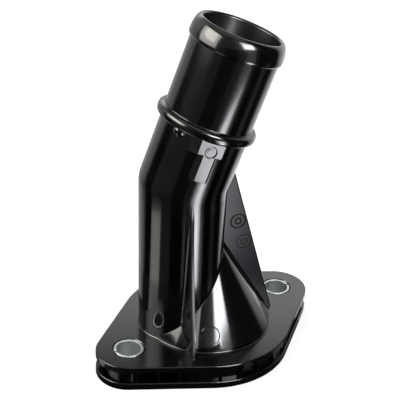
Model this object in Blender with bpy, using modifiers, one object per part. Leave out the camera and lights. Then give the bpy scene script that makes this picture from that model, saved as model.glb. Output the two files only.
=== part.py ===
"""Coolant outlet housing: one moulding in black glass-filled nylon, two split steel sleeves for the
bolts, and a rubber seal in the flange's underside.

Lengths are metres and +Z is up. The origin is the middle of the flange's underside. +X runs from
one bolt to the other. The upright tube and its leaning spout lie in a vertical plane, the pipe
plane, which is turned about +Z from the bolt line.
"""

import math

import bmesh
import bpy
from mathutils import Matrix

MM = 0.001

# Bolts and their sleeves
BOLT_SPACING = 73.0 * MM
SLEEVE_RADIUS = 5.5 * MM
SLEEVE_WALL = 0.9 * MM
SLEEVE_SLIT = 0.7 * MM
SLEEVE_SLIT_TURN = math.radians(-16)
SLEEVE_CHAMFER = 0.15 * MM
SLEEVE_CLEARANCE = 0.3 * MM

# Seal and its groove, counted inwards from the bolt holes
SEAL_GROOVE_WIDTH = 3.3 * MM
SEAL_GROOVE_DEPTH = 2.2 * MM
SEAL_CLEARANCE = 0.3 * MM
GROOVE_TO_BOLT_HOLE = 1.4 * MM
GROOVE_TO_PASSAGE = 1.95 * MM

# Flange: two thin plates on a web with pockets all round
FLANGE_HEIGHT = 9.95 * MM
FLANGE_END_RADIUS = 12.2 * MM
TOP_PLATE_THICKNESS = 2.7 * MM
BOTTOM_PLATE_THICKNESS = 2.85 * MM
PLATE_EDGE_ROUND = 0.45 * MM
CORE_WALL = 1.7 * MM
PLATE_OVERHANG = 1.55 * MM
BOSS_WALL = 2.9 * MM
POCKET_RIB_PITCH = 7.5 * MM
POCKET_RIB_SHIFT = -2.55 * MM
POCKET_RIB_THICKNESS = 1.05 * MM
POCKET_RIB_RECESS = 0.4 * MM

# Pipe: an upright tube that bends once, sharply, into the spout. The walls are counted inwards
PIPE_TURN = math.radians(-24)
PIPE_RADIUS = 16.05 * MM
TUBE_DRAFT = 0.7 * MM
TUBE_FOOT_FILLET = 0.8 * MM
BEND_HEIGHT = 59.4 * MM
SPOUT_LEAN = math.radians(18.6)
SPOUT_LENGTH = 59.2 * MM
FOOT_WALL = 2.35 * MM
BEND_WALL = 3.45 * MM
MOUTH_WALL = 2.15 * MM

# Hose stop collar and the bead at the mouth
COLLAR_PLACE = 24.4 * MM
COLLAR_WIDTH = 4.9 * MM
COLLAR_HEIGHT = 2.25 * MM
COLLAR_FILLET = 0.45 * MM
BEAD_LENGTH = 7.5 * MM
BEAD_HEIGHT = 0.9 * MM
BEAD_SHOULDER = 1.2 * MM
LIP_WALL = 0.8 * MM
LIP_ROUND = 0.9 * MM

# Bell: the cone that spreads the foot of the tube over the opening
BELL_WALL = 2.8 * MM
BELL_STEP = 2.55 * MM
BELL_FOOT_HEIGHT = 1.5 * MM
BELL_FOOT_FILLET = 0.6 * MM
BELL_SLOPE = 1.62

# Fin under the spout
FIN_TURN = math.radians(4.5)
FIN_THICKNESS = 2.4 * MM
FIN_EDGE_ROUND = 0.6 * MM
FIN_TOE = 2.6 * MM
FIN_TOE_HEIGHT = 0.5 * MM
FIN_TOP_ON_SPOUT = 10.6 * MM

# Side ribs, one on each side of the pipe plane: thin at the edge and thick at the root
RIB_SHIFT = -0.5 * MM
RIB_EDGE_THICKNESS = 1.3 * MM
RIB_ROOT_THICKNESS = 6.0 * MM
RIB_EDGE_ROUND = 0.25 * MM
RIB_TOE = 4.8 * MM
RIB_TOE_HEIGHT = 0.4 * MM
RIB_BELOW_BEND = 1.4 * MM
RIB_FADE_LENGTH = 14.0 * MM

# Raised tee and nub below the collar, on the side that faces -Y in the pipe's frame
TEE_PROUD = 0.95 * MM
TEE_SHIFT = -1.35 * MM
TEE_STEM_WIDTH = 4.4 * MM
TEE_STEM_FOOT = 7.8 * MM
TEE_HEAD_WIDTH = 9.2 * MM
TEE_HEAD_HEIGHT = 4.45 * MM
TEE_SIDE_SLOPE = 0.55
NUB_RADIUS = 1.9 * MM
NUB_ANGLE = math.radians(50)
NUB_BELOW_COLLAR = 0.6 * MM

# How far a shape runs into the one that it is joined to, and a cutter past a face
OVERLAP = 0.6 * MM
PASS = 1.0 * MM

# Facets
PIPE_FACETS = 48
BELL_FACETS = 64
SLEEVE_FACETS = 28
ARC_STEP = math.radians(7)
ROUND_STEPS = 5

# Sizes that follow from those above
TUBE_TOP = FLANGE_HEIGHT + BEND_HEIGHT
TUBE_FOOT_RADIUS = PIPE_RADIUS - TUBE_DRAFT
BORE_FOOT_RADIUS = TUBE_FOOT_RADIUS - FOOT_WALL
BORE_BEND_RADIUS = PIPE_RADIUS - BEND_WALL
BORE_MOUTH_RADIUS = PIPE_RADIUS - MOUTH_WALL
TEE_FACE = PIPE_RADIUS + TEE_PROUD
BOLT_X = BOLT_SPACING / 2
BOLT_HOLE_RADIUS = SLEEVE_RADIUS + SLEEVE_CLEARANCE
BOSS_RADIUS = BOLT_HOLE_RADIUS + BOSS_WALL
GROOVE_OUTER = BOLT_X - BOLT_HOLE_RADIUS - GROOVE_TO_BOLT_HOLE
GROOVE_INNER = GROOVE_OUTER - SEAL_GROOVE_WIDTH
PASSAGE_REACH = GROOVE_INNER - GROOVE_TO_PASSAGE
CORE_RADIUS = GROOVE_OUTER + CORE_WALL
FLANGE_MIDDLE_RADIUS = CORE_RADIUS + PLATE_OVERHANG
TUBE_OFFSET = PASSAGE_REACH - BORE_FOOT_RADIUS
BELL_HOLLOW_RADIUS = PASSAGE_REACH - BELL_STEP
BELL_RADIUS = BELL_HOLLOW_RADIUS + BELL_WALL
COLLAR_FOOT = COLLAR_PLACE - COLLAR_WIDTH / 2
BEAD_FOOT = SPOUT_LENGTH - BEAD_LENGTH
LIP_RADIUS = BORE_MOUTH_RADIUS + LIP_WALL


def clear_scene():
    """Removes what the scene holds, so that the script can be run again."""
    for obj in list(bpy.data.objects):
        bpy.data.objects.remove(obj, do_unlink=True)


def new_collection(name):
    """Adds a collection to the scene."""
    collection = bpy.data.collections.new(name)
    bpy.context.scene.collection.children.link(collection)
    return collection


def new_material(name, colour, roughness, metallic):
    """Makes a Principled material of one colour."""
    material = bpy.data.materials.new(name)
    material.use_nodes = True
    shader = material.node_tree.nodes["Principled BSDF"]
    shader.inputs["Base Color"].default_value = (*colour, 1.0)
    shader.inputs["Roughness"].default_value = roughness
    shader.inputs["Metallic"].default_value = metallic
    return material


def new_frame(name, collection, location, rotation, parent=None):
    """Adds an empty that carries the pieces built in its frame."""
    empty = bpy.data.objects.new(name, None)
    empty.location = location
    empty.rotation_euler = rotation
    empty.parent = parent
    collection.objects.link(empty)
    return empty


def new_object(name, bm, collection, frame=None):
    """Turns a bmesh into an object, carried by a frame if one is given."""
    bmesh.ops.recalc_face_normals(bm, faces=bm.faces)
    mesh = bpy.data.meshes.new(name)
    bm.to_mesh(mesh)
    bm.free()
    obj = bpy.data.objects.new(name, mesh)
    obj.parent = frame
    collection.objects.link(obj)
    return obj


def mark_as_tool(obj):
    """Keeps a shape that is only joined to or cut from another out of the model."""
    obj.hide_render = True
    obj.display_type = "WIRE"
    return obj


def combine(target, tool, operation):
    """Adds a Boolean of a tool to a target."""
    modifier = target.modifiers.new(f"{operation.lower()}_{tool.name}", "BOOLEAN")
    modifier.operation = operation
    modifier.solver = "EXACT"
    modifier.object = mark_as_tool(tool)


def add_bevel(obj, width, segments):
    """Rounds the edges that turn by more than 40 degrees."""
    modifier = obj.modifiers.new("edge_round", "BEVEL")
    modifier.width = width
    modifier.segments = segments
    modifier.limit_method = "ANGLE"
    modifier.angle_limit = math.radians(40)


def arc(centre, radius, start, end, step=ARC_STEP):
    """Points of an arc in its plane, with both ends."""
    count = max(2, math.ceil(abs(end - start) / step))
    angles = [start + (end - start) * k / count for k in range(count + 1)]
    return [(centre[0] + radius * math.cos(a), centre[1] + radius * math.sin(a)) for a in angles]


def plate(name, outline, thickness, collection, frame=None):
    """A flat outline in XY made solid by a filled 2D curve, with its middle plane at z = 0."""
    curve = bpy.data.curves.new(name, "CURVE")
    curve.dimensions = "2D"
    curve.fill_mode = "BOTH"
    curve.extrude = thickness / 2
    spline = curve.splines.new("POLY")
    spline.points.add(len(outline) - 1)
    for point, (x, y) in zip(spline.points, outline):
        point.co = (x, y, 0.0, 1.0)
    spline.use_cyclic_u = True
    guide = bpy.data.objects.new(name + "_outline", curve)
    collection.objects.link(guide)
    bpy.context.view_layer.update()
    mesh = bpy.data.meshes.new_from_object(guide.evaluated_get(bpy.context.evaluated_depsgraph_get()))
    bm = bmesh.new()
    bm.from_mesh(mesh)
    bmesh.ops.remove_doubles(bm, verts=bm.verts, dist=0.001 * MM)
    solid = new_object(name, bm, collection, frame)
    bpy.data.objects.remove(guide)
    bpy.data.curves.remove(curve)
    bpy.data.meshes.remove(mesh)
    return solid


def upright_plate(name, outline, thickness, collection, frame, turn):
    """A plate whose outline is distance and height, stood up in the plane turned about +Z."""
    solid = plate(name, outline, thickness, collection, frame)
    solid.rotation_euler = (math.radians(90), 0.0, turn)
    return solid


def turned(name, profile, facets, collection):
    """A solid of revolution about +Z, from a profile of radius and height that runs downwards."""
    bm = bmesh.new()
    points = [bm.verts.new((radius, 0.0, height)) for radius, height in profile]
    for first, second in zip(points, points[1:]):
        bm.edges.new((first, second))
    if profile[0][0] > 0:
        bm.edges.new((points[-1], points[0]))
    solid = new_object(name, bm, collection)
    screw = solid.modifiers.new("turn", "SCREW")
    screw.angle = math.tau
    screw.steps = facets
    screw.render_steps = facets
    screw.use_merge_vertices = True
    screw.merge_threshold = 0.001 * MM
    screw.use_smooth_shade = False
    return solid


def cylinder(name, radius, bottom, top, facets, collection, centre=(0.0, 0.0)):
    """An upright cylinder between two heights."""
    bm = bmesh.new()
    place = Matrix.Translation((*centre, (bottom + top) / 2))
    bmesh.ops.create_cone(
        bm,
        cap_ends=True,
        segments=facets,
        radius1=radius,
        radius2=radius,
        depth=top - bottom,
        matrix=place,
    )
    return new_object(name, bm, collection)


def block(name, centre, size, collection, frame):
    """A square block, given its middle and its three sizes."""
    bm = bmesh.new()
    shape = Matrix.Translation(centre) @ Matrix.Diagonal((*size, 1.0))
    bmesh.ops.create_cube(bm, size=1.0, matrix=shape)
    return new_object(name, bm, collection, frame)


def pipe_section(bm, along, radius, facets):
    """Adds one ring of the pipe, at a distance along its axis from the bend, and gives its edges.

    The tube is below the bend and its distances are negative. The ring at the bend lies in the
    plane that halves the corner, stretched so that tube and spout keep their radius.
    """
    share = 0.5 if along == 0 else float(along > 0)
    stretch = 1 / math.cos(SPOUT_LEAN / 2) if along == 0 else 1.0
    place = (
        Matrix.Rotation(SPOUT_LEAN * share, 4, "Y")
        @ Matrix.Translation((0.0, 0.0, along))
        @ Matrix.Diagonal((stretch, 1.0, 1.0, 1.0))
    )
    ring = bmesh.ops.create_circle(bm, segments=facets, radius=radius, matrix=place)
    return list({edge for vert in ring["verts"] for edge in vert.link_edges})


def lofted_pipe(name, stations, collection, frame):
    """Skins the pipe through rings of given place and radius, and closes both ends."""
    bm = bmesh.new()
    rings = [pipe_section(bm, along, radius, PIPE_FACETS) for along, radius in stations]
    for lower, upper in zip(rings, rings[1:]):
        bmesh.ops.bridge_loops(bm, edges=lower + upper)
    for ring in (rings[0], rings[-1]):
        bmesh.ops.contextual_create(bm, geom=ring)
    return new_object(name, bm, collection, frame)


def skinned(name, rows, collection, frame):
    """Skins a solid through rows of points, each with as many points, and closes both ends."""
    bm = bmesh.new()
    loops = [[bm.verts.new(point) for point in row] for row in rows]
    for lower, upper in zip(loops, loops[1:]):
        for index, corner in enumerate(lower):
            bm.faces.new((lower[index - 1], corner, upper[index], upper[index - 1]))
    bm.faces.new(loops[0])
    bm.faces.new(loops[-1])
    bmesh.ops.triangulate(bm, faces=bm.faces)
    return new_object(name, bm, collection, frame)


def drafted_block(name, width, length, bottom, top, slope, collection, frame, centre):
    """A block that faces -Y and grows by its side slope towards its root."""
    bm = bmesh.new()
    bmesh.ops.create_cube(bm, size=1.0)
    for vert in bm.verts:
        root = vert.co.y > 0
        spread = slope * (top - bottom) if root else 0.0
        vert.co.x = math.copysign(width / 2 + spread, vert.co.x) + centre[0]
        vert.co.z = math.copysign(length / 2, vert.co.z) + centre[1]
        vert.co.y = -bottom if root else -top
    return new_object(name, bm, collection, frame)


def flange_outline(inset=0.0):
    """Outline of the flange: a middle arc and two end arcs, joined by their common tangents."""
    middle = FLANGE_MIDDLE_RADIUS - inset
    end = FLANGE_END_RADIUS - inset
    tangent = math.acos((middle - end) / BOLT_X)
    return (
        arc((BOLT_X, 0.0), end, -tangent, tangent)
        + arc((0.0, 0.0), middle, tangent, math.pi - tangent)
        + arc((-BOLT_X, 0.0), end, math.pi - tangent, math.pi + tangent)
        + arc((0.0, 0.0), middle, math.pi + tangent, math.tau - tangent)
    )


def collar_profile():
    """Rounded collar with a small fillet at each foot, as place along the spout and radius."""
    half = COLLAR_WIDTH / 2 - COLLAR_FILLET
    low_fillet = arc((COLLAR_FOOT, COLLAR_FILLET), COLLAR_FILLET, -math.pi / 2, 0.0, math.radians(45))
    crown = [
        (COLLAR_PLACE - half * math.cos(a), COLLAR_FILLET + (COLLAR_HEIGHT - COLLAR_FILLET) * math.sin(a))
        for a in (math.pi * k / (2 * ROUND_STEPS) for k in range(1, 2 * ROUND_STEPS))
    ]
    high_fillet = [(2 * COLLAR_PLACE - along, height) for along, height in reversed(low_fillet)]
    return [(along, PIPE_RADIUS + height) for along, height in low_fillet + crown + high_fillet]


def bead_profile():
    """Bead with a short shoulder below, easing over into the round lip, as place and radius."""
    fullest = PIPE_RADIUS + BEAD_HEIGHT
    quarter = [math.pi / 2 * k / ROUND_STEPS for k in range(ROUND_STEPS + 1)]
    shoulder = [
        (
            BEAD_FOOT + BEAD_SHOULDER * (1 - math.cos(a)),
            PIPE_RADIUS + BEAD_HEIGHT * math.sin(a),
        )
        for a in quarter
    ]
    rise = BEAD_LENGTH - BEAD_SHOULDER
    crown = [
        (
            BEAD_FOOT + BEAD_SHOULDER + rise * math.sin(a),
            LIP_RADIUS + (fullest - LIP_RADIUS) * math.cos(a),
        )
        for a in quarter
    ]
    return shoulder + crown[1:]


def pipe_outside(collection, frame):
    """Tube, spout, collar and bead as one skin."""
    foot = -BEND_HEIGHT
    fillet = [
        (foot + TUBE_FOOT_FILLET * (1 - math.sin(a)), TUBE_FOOT_RADIUS + TUBE_FOOT_FILLET * (1 - math.cos(a)))
        for a in (math.radians(90), math.radians(45), 0.0)
    ]
    stations = [(foot - OVERLAP, TUBE_FOOT_RADIUS + TUBE_FOOT_FILLET), *fillet, (0.0, PIPE_RADIUS)]
    return lofted_pipe("pipe_outside", stations + collar_profile() + bead_profile(), collection, frame)


def pipe_bore(collection, frame):
    """Passage through tube and spout, opening out at the mouth into the round lip."""
    mouth_round = [
        (
            SPOUT_LENGTH - LIP_ROUND * (1 - math.sin(a)),
            BORE_MOUTH_RADIUS + LIP_WALL * (1 - math.cos(a)),
        )
        for a in (math.pi / 2 * k / ROUND_STEPS for k in range(ROUND_STEPS + 1))
    ]
    stations = [(-TUBE_TOP - PASS, BORE_FOOT_RADIUS), (0.0, BORE_BEND_RADIUS), *mouth_round]
    stations.append((SPOUT_LENGTH + PASS, LIP_RADIUS + PASS))
    return lofted_pipe("pipe_bore", stations, collection, frame)


def bell_outside(collection):
    """Cone over the opening, on a short upright foot with a fillet."""
    foot_top = FLANGE_HEIGHT + BELL_FOOT_HEIGHT
    apex = foot_top + BELL_SLOPE * BELL_RADIUS
    fillet_centre = (BELL_RADIUS + BELL_FOOT_FILLET, FLANGE_HEIGHT + BELL_FOOT_FILLET)
    fillet = arc(fillet_centre, BELL_FOOT_FILLET, math.pi, 1.5 * math.pi, math.radians(45))
    base = FLANGE_HEIGHT - OVERLAP
    profile = [(0.0, apex), (BELL_RADIUS, foot_top), *fillet]
    profile += [(BELL_RADIUS + BELL_FOOT_FILLET, base), (0.0, base)]
    return turned("bell_outside", profile, BELL_FACETS, collection)


def bell_hollow(collection):
    """Space under the bell, one wall inside its cone."""
    drop = BELL_WALL * math.hypot(1.0, BELL_SLOPE)
    apex = FLANGE_HEIGHT + BELL_FOOT_HEIGHT + BELL_SLOPE * BELL_RADIUS - drop
    wall_top = apex - BELL_SLOPE * BELL_HOLLOW_RADIUS
    profile = [(0.0, apex), (BELL_HOLLOW_RADIUS, wall_top), (BELL_HOLLOW_RADIUS, -PASS), (0.0, -PASS)]
    return turned("bell_hollow", profile, BELL_FACETS, collection)


def flange_web(collection, frame):
    """What joins the two plates: solid middle, boss round each bolt, and the ribs between pockets.

    The mould's slides leave the pockets along the pipe frame's Y, so the ribs lie that way, and a
    neck fills what each boss would hide from the slide.
    """
    bottom = BOTTOM_PLATE_THICKNESS - OVERLAP
    top = FLANGE_HEIGHT - TOP_PLATE_THICKNESS + OVERLAP
    web = cylinder("flange_web", CORE_RADIUS, bottom, top, BELL_FACETS, collection)
    for side in (-1, 1):
        boss = cylinder(
            f"bolt_boss_{side + 1}", BOSS_RADIUS, bottom, top, PIPE_FACETS, collection, (side * BOLT_X, 0.0)
        )
        combine(web, boss, "UNION")
    bolt_along = BOLT_X * math.cos(PIPE_TURN)
    bolt_across = BOLT_X * math.sin(-PIPE_TURN)
    for side in (-1, 1):
        place = (side * CORE_RADIUS / 2, side * bolt_across / 2, (bottom + top) / 2)
        size = (CORE_RADIUS, bolt_across, top - bottom)
        combine(web, block(f"web_neck_{side + 1}", place, size, collection, frame), "UNION")
    first = math.ceil((-bolt_along - POCKET_RIB_SHIFT) / POCKET_RIB_PITCH)
    last = math.floor((bolt_along - POCKET_RIB_SHIFT) / POCKET_RIB_PITCH)
    for index in range(first, last + 1):
        place = (POCKET_RIB_SHIFT + index * POCKET_RIB_PITCH, 0.0, (bottom + top) / 2)
        size = (POCKET_RIB_THICKNESS, 2 * (BOLT_X + FLANGE_END_RADIUS), top - bottom)
        combine(web, block(f"pocket_rib_{index - first}", place, size, collection, frame), "UNION")
    limit = plate("web_limit", flange_outline(POCKET_RIB_RECESS), FLANGE_HEIGHT, collection)
    limit.location.z = FLANGE_HEIGHT / 2
    combine(web, limit, "INTERSECT")
    return web


def flange_plate(name, bottom, thickness, collection):
    """One of the flange's two plates, with its rim rounded."""
    solid = plate(name, flange_outline(), thickness, collection)
    solid.location.z = bottom + thickness / 2
    add_bevel(solid, PLATE_EDGE_ROUND, 2)
    return solid


def spout_fin(collection, frame):
    """Straight fin from the flange, over the bell, to the underside of the spout."""
    toe = TUBE_OFFSET + BELL_RADIUS + FIN_TOE
    top_distance = FIN_TOP_ON_SPOUT * math.sin(SPOUT_LEAN) + PIPE_RADIUS * math.cos(SPOUT_LEAN)
    top_height = FIN_TOP_ON_SPOUT * math.cos(SPOUT_LEAN) - PIPE_RADIUS * math.sin(SPOUT_LEAN)
    base = -BEND_HEIGHT - OVERLAP
    outline = [(0.0, base), (toe, base), (toe, FIN_TOE_HEIGHT - BEND_HEIGHT)]
    outline += [(top_distance, top_height), (0.0, top_height)]
    fin = upright_plate("spout_fin", outline, FIN_THICKNESS, collection, frame, FIN_TURN)
    add_bevel(fin, FIN_EDGE_ROUND, 2)
    return fin


def side_rib(name, turn, collection, frame):
    """Wedge whose straight edge rises from a toe on the flange and fades into the tube.

    Its root lies inside the tube's wall, clear of the passage.
    """
    toe = math.sqrt(BELL_RADIUS**2 - TUBE_OFFSET**2) + RIB_TOE
    top = -RIB_BELOW_BEND
    toe_top = RIB_TOE_HEIGHT - BEND_HEIGHT
    knee = top - RIB_FADE_LENGTH
    slope = (toe - PIPE_RADIUS) / (knee - toe_top + RIB_FADE_LENGTH / 2)
    proud = slope * RIB_FADE_LENGTH / 2
    shares = [k / ROUND_STEPS for k in range(ROUND_STEPS + 1)]
    fade = [(PIPE_RADIUS + proud * (1 - t) ** 2, knee + RIB_FADE_LENGTH * t) for t in shares]
    root = TUBE_FOOT_RADIUS - OVERLAP
    rows = []
    for distance, height in ((toe, -BEND_HEIGHT - OVERLAP), (toe, toe_top), *fade):
        half = [(root, RIB_ROOT_THICKNESS / 2), (distance, RIB_EDGE_THICKNESS / 2)]
        other_half = [(along, -across) for along, across in reversed(half)]
        rows.append([(along, across, height) for along, across in half + other_half])
    rib = skinned(name, rows, collection, frame)
    rib.location.x = RIB_SHIFT
    rib.rotation_euler = (0.0, 0.0, turn)
    add_bevel(rib, RIB_EDGE_ROUND, 1)
    return rib


def tee(collection, frame):
    """Raised tee below the collar: a narrow stem and a wide head, flat on its face."""
    root = BORE_BEND_RADIUS + OVERLAP
    head_foot = COLLAR_FOOT - TEE_HEAD_HEIGHT
    head_length = TEE_HEAD_HEIGHT + COLLAR_WIDTH / 2
    stem_length = head_foot + OVERLAP - TEE_STEM_FOOT
    head = drafted_block(
        "tee_head",
        TEE_HEAD_WIDTH,
        head_length,
        root,
        TEE_FACE,
        TEE_SIDE_SLOPE,
        collection,
        frame,
        (TEE_SHIFT, head_foot + head_length / 2),
    )
    stem = drafted_block(
        "tee_stem",
        TEE_STEM_WIDTH,
        stem_length,
        root,
        TEE_FACE,
        TEE_SIDE_SLOPE,
        collection,
        frame,
        (TEE_SHIFT, TEE_STEM_FOOT + stem_length / 2),
    )
    return head, stem


def nub(collection, frame):
    """Small round nub under the collar, beside the tee."""
    bm = bmesh.new()
    across = -PIPE_RADIUS * math.sin(NUB_ANGLE)
    forward = -PIPE_RADIUS * math.cos(NUB_ANGLE)
    place = Matrix.Translation((across, forward, COLLAR_FOOT - NUB_BELOW_COLLAR))
    bmesh.ops.create_uvsphere(bm, u_segments=12, v_segments=8, radius=NUB_RADIUS, matrix=place)
    return new_object("nub", bm, collection, frame)


def ring_profile(inner, outer, bottom, top):
    """Rectangular ring section, running down its outer side."""
    return [(outer, top), (outer, bottom), (inner, bottom), (inner, top)]


def build_housing(parts, tools, material):
    """The moulding: plates, web, bell, pipe, fin, ribs and tee in one, hollow right through."""
    housing = flange_plate("housing", 0.0, BOTTOM_PLATE_THICKNESS, parts)
    pipe_plane = new_frame("pipe_plane", tools, (0.0, 0.0, 0.0), (0.0, 0.0, PIPE_TURN))
    tube_axis = new_frame("tube_axis", tools, (-TUBE_OFFSET, 0.0, TUBE_TOP), (0.0, 0.0, 0.0), pipe_plane)
    spout_axis = new_frame("spout_axis", tools, (0.0, 0.0, 0.0), (0.0, SPOUT_LEAN, 0.0), tube_axis)

    top_bottom = FLANGE_HEIGHT - TOP_PLATE_THICKNESS
    joined = [
        flange_web(tools, pipe_plane),
        flange_plate("top_plate", top_bottom, TOP_PLATE_THICKNESS, tools),
        bell_outside(tools),
        pipe_outside(tools, tube_axis),
        spout_fin(tools, tube_axis),
        side_rib("near_rib", math.radians(-90), tools, tube_axis),
        side_rib("far_rib", math.radians(90), tools, tube_axis),
        *tee(tools, spout_axis),
        nub(tools, spout_axis),
    ]
    for tool in joined:
        combine(housing, tool, "UNION")

    groove = ring_profile(GROOVE_INNER, GROOVE_OUTER, -PASS, SEAL_GROOVE_DEPTH)
    cut = [
        bell_hollow(tools),
        pipe_bore(tools, tube_axis),
        turned("seal_groove", groove, BELL_FACETS, tools),
    ]
    for side in (-1, 1):
        hole = cylinder(
            f"bolt_hole_{side + 1}",
            BOLT_HOLE_RADIUS,
            -PASS,
            FLANGE_HEIGHT + PASS,
            SLEEVE_FACETS,
            tools,
            (side * BOLT_X, 0.0),
        )
        cut.append(hole)
    for tool in cut:
        combine(housing, tool, "DIFFERENCE")
    housing.data.materials.append(material)
    return housing


def build_sleeve(name, side, parts, material):
    """Steel sleeve rolled from strip, so it is open along a narrow slit."""
    inner = SLEEVE_RADIUS - SLEEVE_WALL
    step = math.tau / SLEEVE_FACETS
    outer_edge = math.asin(SLEEVE_SLIT / 2 / SLEEVE_RADIUS)
    inner_edge = math.asin(SLEEVE_SLIT / 2 / inner)
    outline = arc((0.0, 0.0), SLEEVE_RADIUS, outer_edge, math.tau - outer_edge, step)
    outline += arc((0.0, 0.0), inner, math.tau - inner_edge, inner_edge, step)
    sleeve = plate(name, outline, FLANGE_HEIGHT, parts)
    turn = SLEEVE_SLIT_TURN if side > 0 else SLEEVE_SLIT_TURN + math.pi
    sleeve.location = (side * BOLT_X, 0.0, FLANGE_HEIGHT / 2)
    sleeve.rotation_euler = (0.0, 0.0, turn)
    add_bevel(sleeve, SLEEVE_CHAMFER, 1)
    sleeve.data.materials.append(material)
    return sleeve


def build_seal(parts, material):
    """Flat rubber ring with round corners, pressed flush into its groove."""
    inner = GROOVE_INNER + SEAL_CLEARANCE
    outer = GROOVE_OUTER - SEAL_CLEARANCE
    bottom = SEAL_CLEARANCE
    top = SEAL_GROOVE_DEPTH - SEAL_CLEARANCE
    radius = (top - bottom) / 2
    middle = (top + bottom) / 2
    step = math.radians(45)
    profile = arc((outer - radius, middle), radius, math.pi / 2, -math.pi / 2, step)
    profile += arc((inner + radius, middle), radius, -math.pi / 2, -1.5 * math.pi, step)
    seal = turned("flange_seal", profile, BELL_FACETS, parts)
    seal.data.materials.append(material)
    return seal


def main():
    """Builds the housing, its two sleeves and its seal."""
    clear_scene()
    parts = new_collection("coolant_outlet_housing")
    tools = new_collection("housing_tools")
    nylon = new_material("black_nylon", (0.006, 0.006, 0.008), 0.3, 0.0)
    steel = new_material("zinc_plated_steel", (0.55, 0.56, 0.55), 0.4, 1.0)
    rubber = new_material("black_rubber", (0.012, 0.012, 0.012), 0.8, 0.0)
    pieces = [
        build_housing(parts, tools, nylon),
        build_sleeve("sleeve_left", -1, parts, steel),
        build_sleeve("sleeve_right", 1, parts, steel),
        build_seal(parts, rubber),
    ]
    for piece in pieces:
        piece.data.shade_smooth()
        piece.data.set_sharp_from_angle(angle=math.radians(30))


main()
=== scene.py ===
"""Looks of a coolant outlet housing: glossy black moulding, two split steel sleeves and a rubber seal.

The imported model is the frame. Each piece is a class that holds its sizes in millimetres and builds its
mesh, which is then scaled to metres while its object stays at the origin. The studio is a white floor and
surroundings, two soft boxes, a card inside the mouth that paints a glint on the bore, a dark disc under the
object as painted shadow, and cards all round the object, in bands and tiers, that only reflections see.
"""

import logging
import math
from collections.abc import Callable, Iterable, Sequence
from dataclasses import dataclass, replace
from enum import Enum

import bmesh
import bpy
from mathutils import Matrix, Vector


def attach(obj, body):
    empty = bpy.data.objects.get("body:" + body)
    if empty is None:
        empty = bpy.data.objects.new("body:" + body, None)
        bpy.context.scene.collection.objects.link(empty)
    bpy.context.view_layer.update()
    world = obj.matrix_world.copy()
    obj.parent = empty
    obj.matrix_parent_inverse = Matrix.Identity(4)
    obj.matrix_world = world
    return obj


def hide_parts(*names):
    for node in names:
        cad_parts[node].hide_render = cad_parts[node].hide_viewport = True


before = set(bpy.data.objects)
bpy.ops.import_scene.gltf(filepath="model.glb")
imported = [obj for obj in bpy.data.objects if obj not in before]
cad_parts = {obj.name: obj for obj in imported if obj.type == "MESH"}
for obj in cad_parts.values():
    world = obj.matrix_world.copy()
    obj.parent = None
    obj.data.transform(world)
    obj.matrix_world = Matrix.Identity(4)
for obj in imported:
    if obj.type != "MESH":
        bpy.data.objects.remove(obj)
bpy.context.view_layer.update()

LOG = logging.getLogger("coolant_outlet")
METRES = 0.001
PASS = 1.0
OVERLAP = 0.6
FLANGE_TOP = 9.95
ORIGIN = Vector((0.0, 0.0, 0.0))
UPWARDS = Vector((0.0, 0.0, 1.0))

Point = tuple[float, float]
Colour = tuple[float, float, float]
Gap = Callable[[Vector], float]

COOL: Colour = (0.955, 0.97, 1.0)
WARM: Colour = (1.0, 0.965, 0.905)


class Joining(Enum):
    """How a tool shape acts on the shape it meets."""

    ADD = "UNION"
    CUT = "DIFFERENCE"
    KEEP = "INTERSECT"


class Side(Enum):
    """Which bolt a sleeve belongs to."""

    LEFT = -1
    RIGHT = 1


class Sight(Enum):
    """Which rays see a thing of the studio."""

    FLOOR = 0
    MIRROR = 1
    LIGHT = 2


# Outlines and meshes


def arc(centre: Point, radius: float, start: float, end: float, steps: int) -> list[Point]:
    """Points of an arc, both ends among them.

    Args:
        centre: Middle of the arc.
        radius: Its radius.
        start: First angle in radians.
        end: Last angle in radians.
        steps: Number of chords.

    Returns:
        The points in order.
    """
    angles = [start + (end - start) * k / steps for k in range(steps + 1)]
    return [(centre[0] + radius * math.cos(a), centre[1] + radius * math.sin(a)) for a in angles]


def as_object(name: str, bm: bmesh.types.BMesh) -> bpy.types.Object:
    """Turns a bmesh into an object of the scene.

    Args:
        name: Name of the object and its mesh.
        bm: The mesh, which is freed.

    Returns:
        The new object.
    """
    bmesh.ops.remove_doubles(bm, verts=bm.verts, dist=0.0005)
    bmesh.ops.recalc_face_normals(bm, faces=bm.faces)
    mesh = bpy.data.meshes.new(name)
    bm.to_mesh(mesh)
    bm.free()
    obj = bpy.data.objects.new(name, mesh)
    bpy.context.scene.collection.objects.link(obj)
    return obj


def combine(
    base: bpy.types.Object, tools: Sequence[bpy.types.Object], joining: Joining
) -> bpy.types.Object:
    """Adds tool shapes to a base, cuts them from it, or keeps what they share, and deletes the tools.

    Args:
        base: The shape that is changed.
        tools: Closed shapes.
        joining: What they do to the base.

    Returns:
        The base.
    """
    group = bpy.data.collections.new(f"{joining.name.lower()}_tools")
    for tool in tools:
        group.objects.link(tool)
    modifier = base.modifiers.new(group.name, "BOOLEAN")
    modifier.operation = joining.value
    modifier.solver = "EXACT"
    modifier.operand_type = "COLLECTION"
    modifier.collection = group
    graph = bpy.context.evaluated_depsgraph_get()
    mesh = bpy.data.meshes.new_from_object(base.evaluated_get(graph))
    base.modifiers.clear()
    base.data = mesh
    bpy.data.collections.remove(group)
    for tool in tools:
        bpy.data.objects.remove(tool)
    return base


def merge_close(obj: bpy.types.Object, distance: float = 0.001) -> None:
    """Merges points that a join left closer than a distance and takes out faces without area."""
    bm = bmesh.new()
    bm.from_mesh(obj.data)
    bmesh.ops.remove_doubles(bm, verts=bm.verts, dist=distance)
    bmesh.ops.dissolve_degenerate(bm, dist=distance, edges=bm.edges)
    bm.to_mesh(obj.data)
    bm.free()


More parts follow.
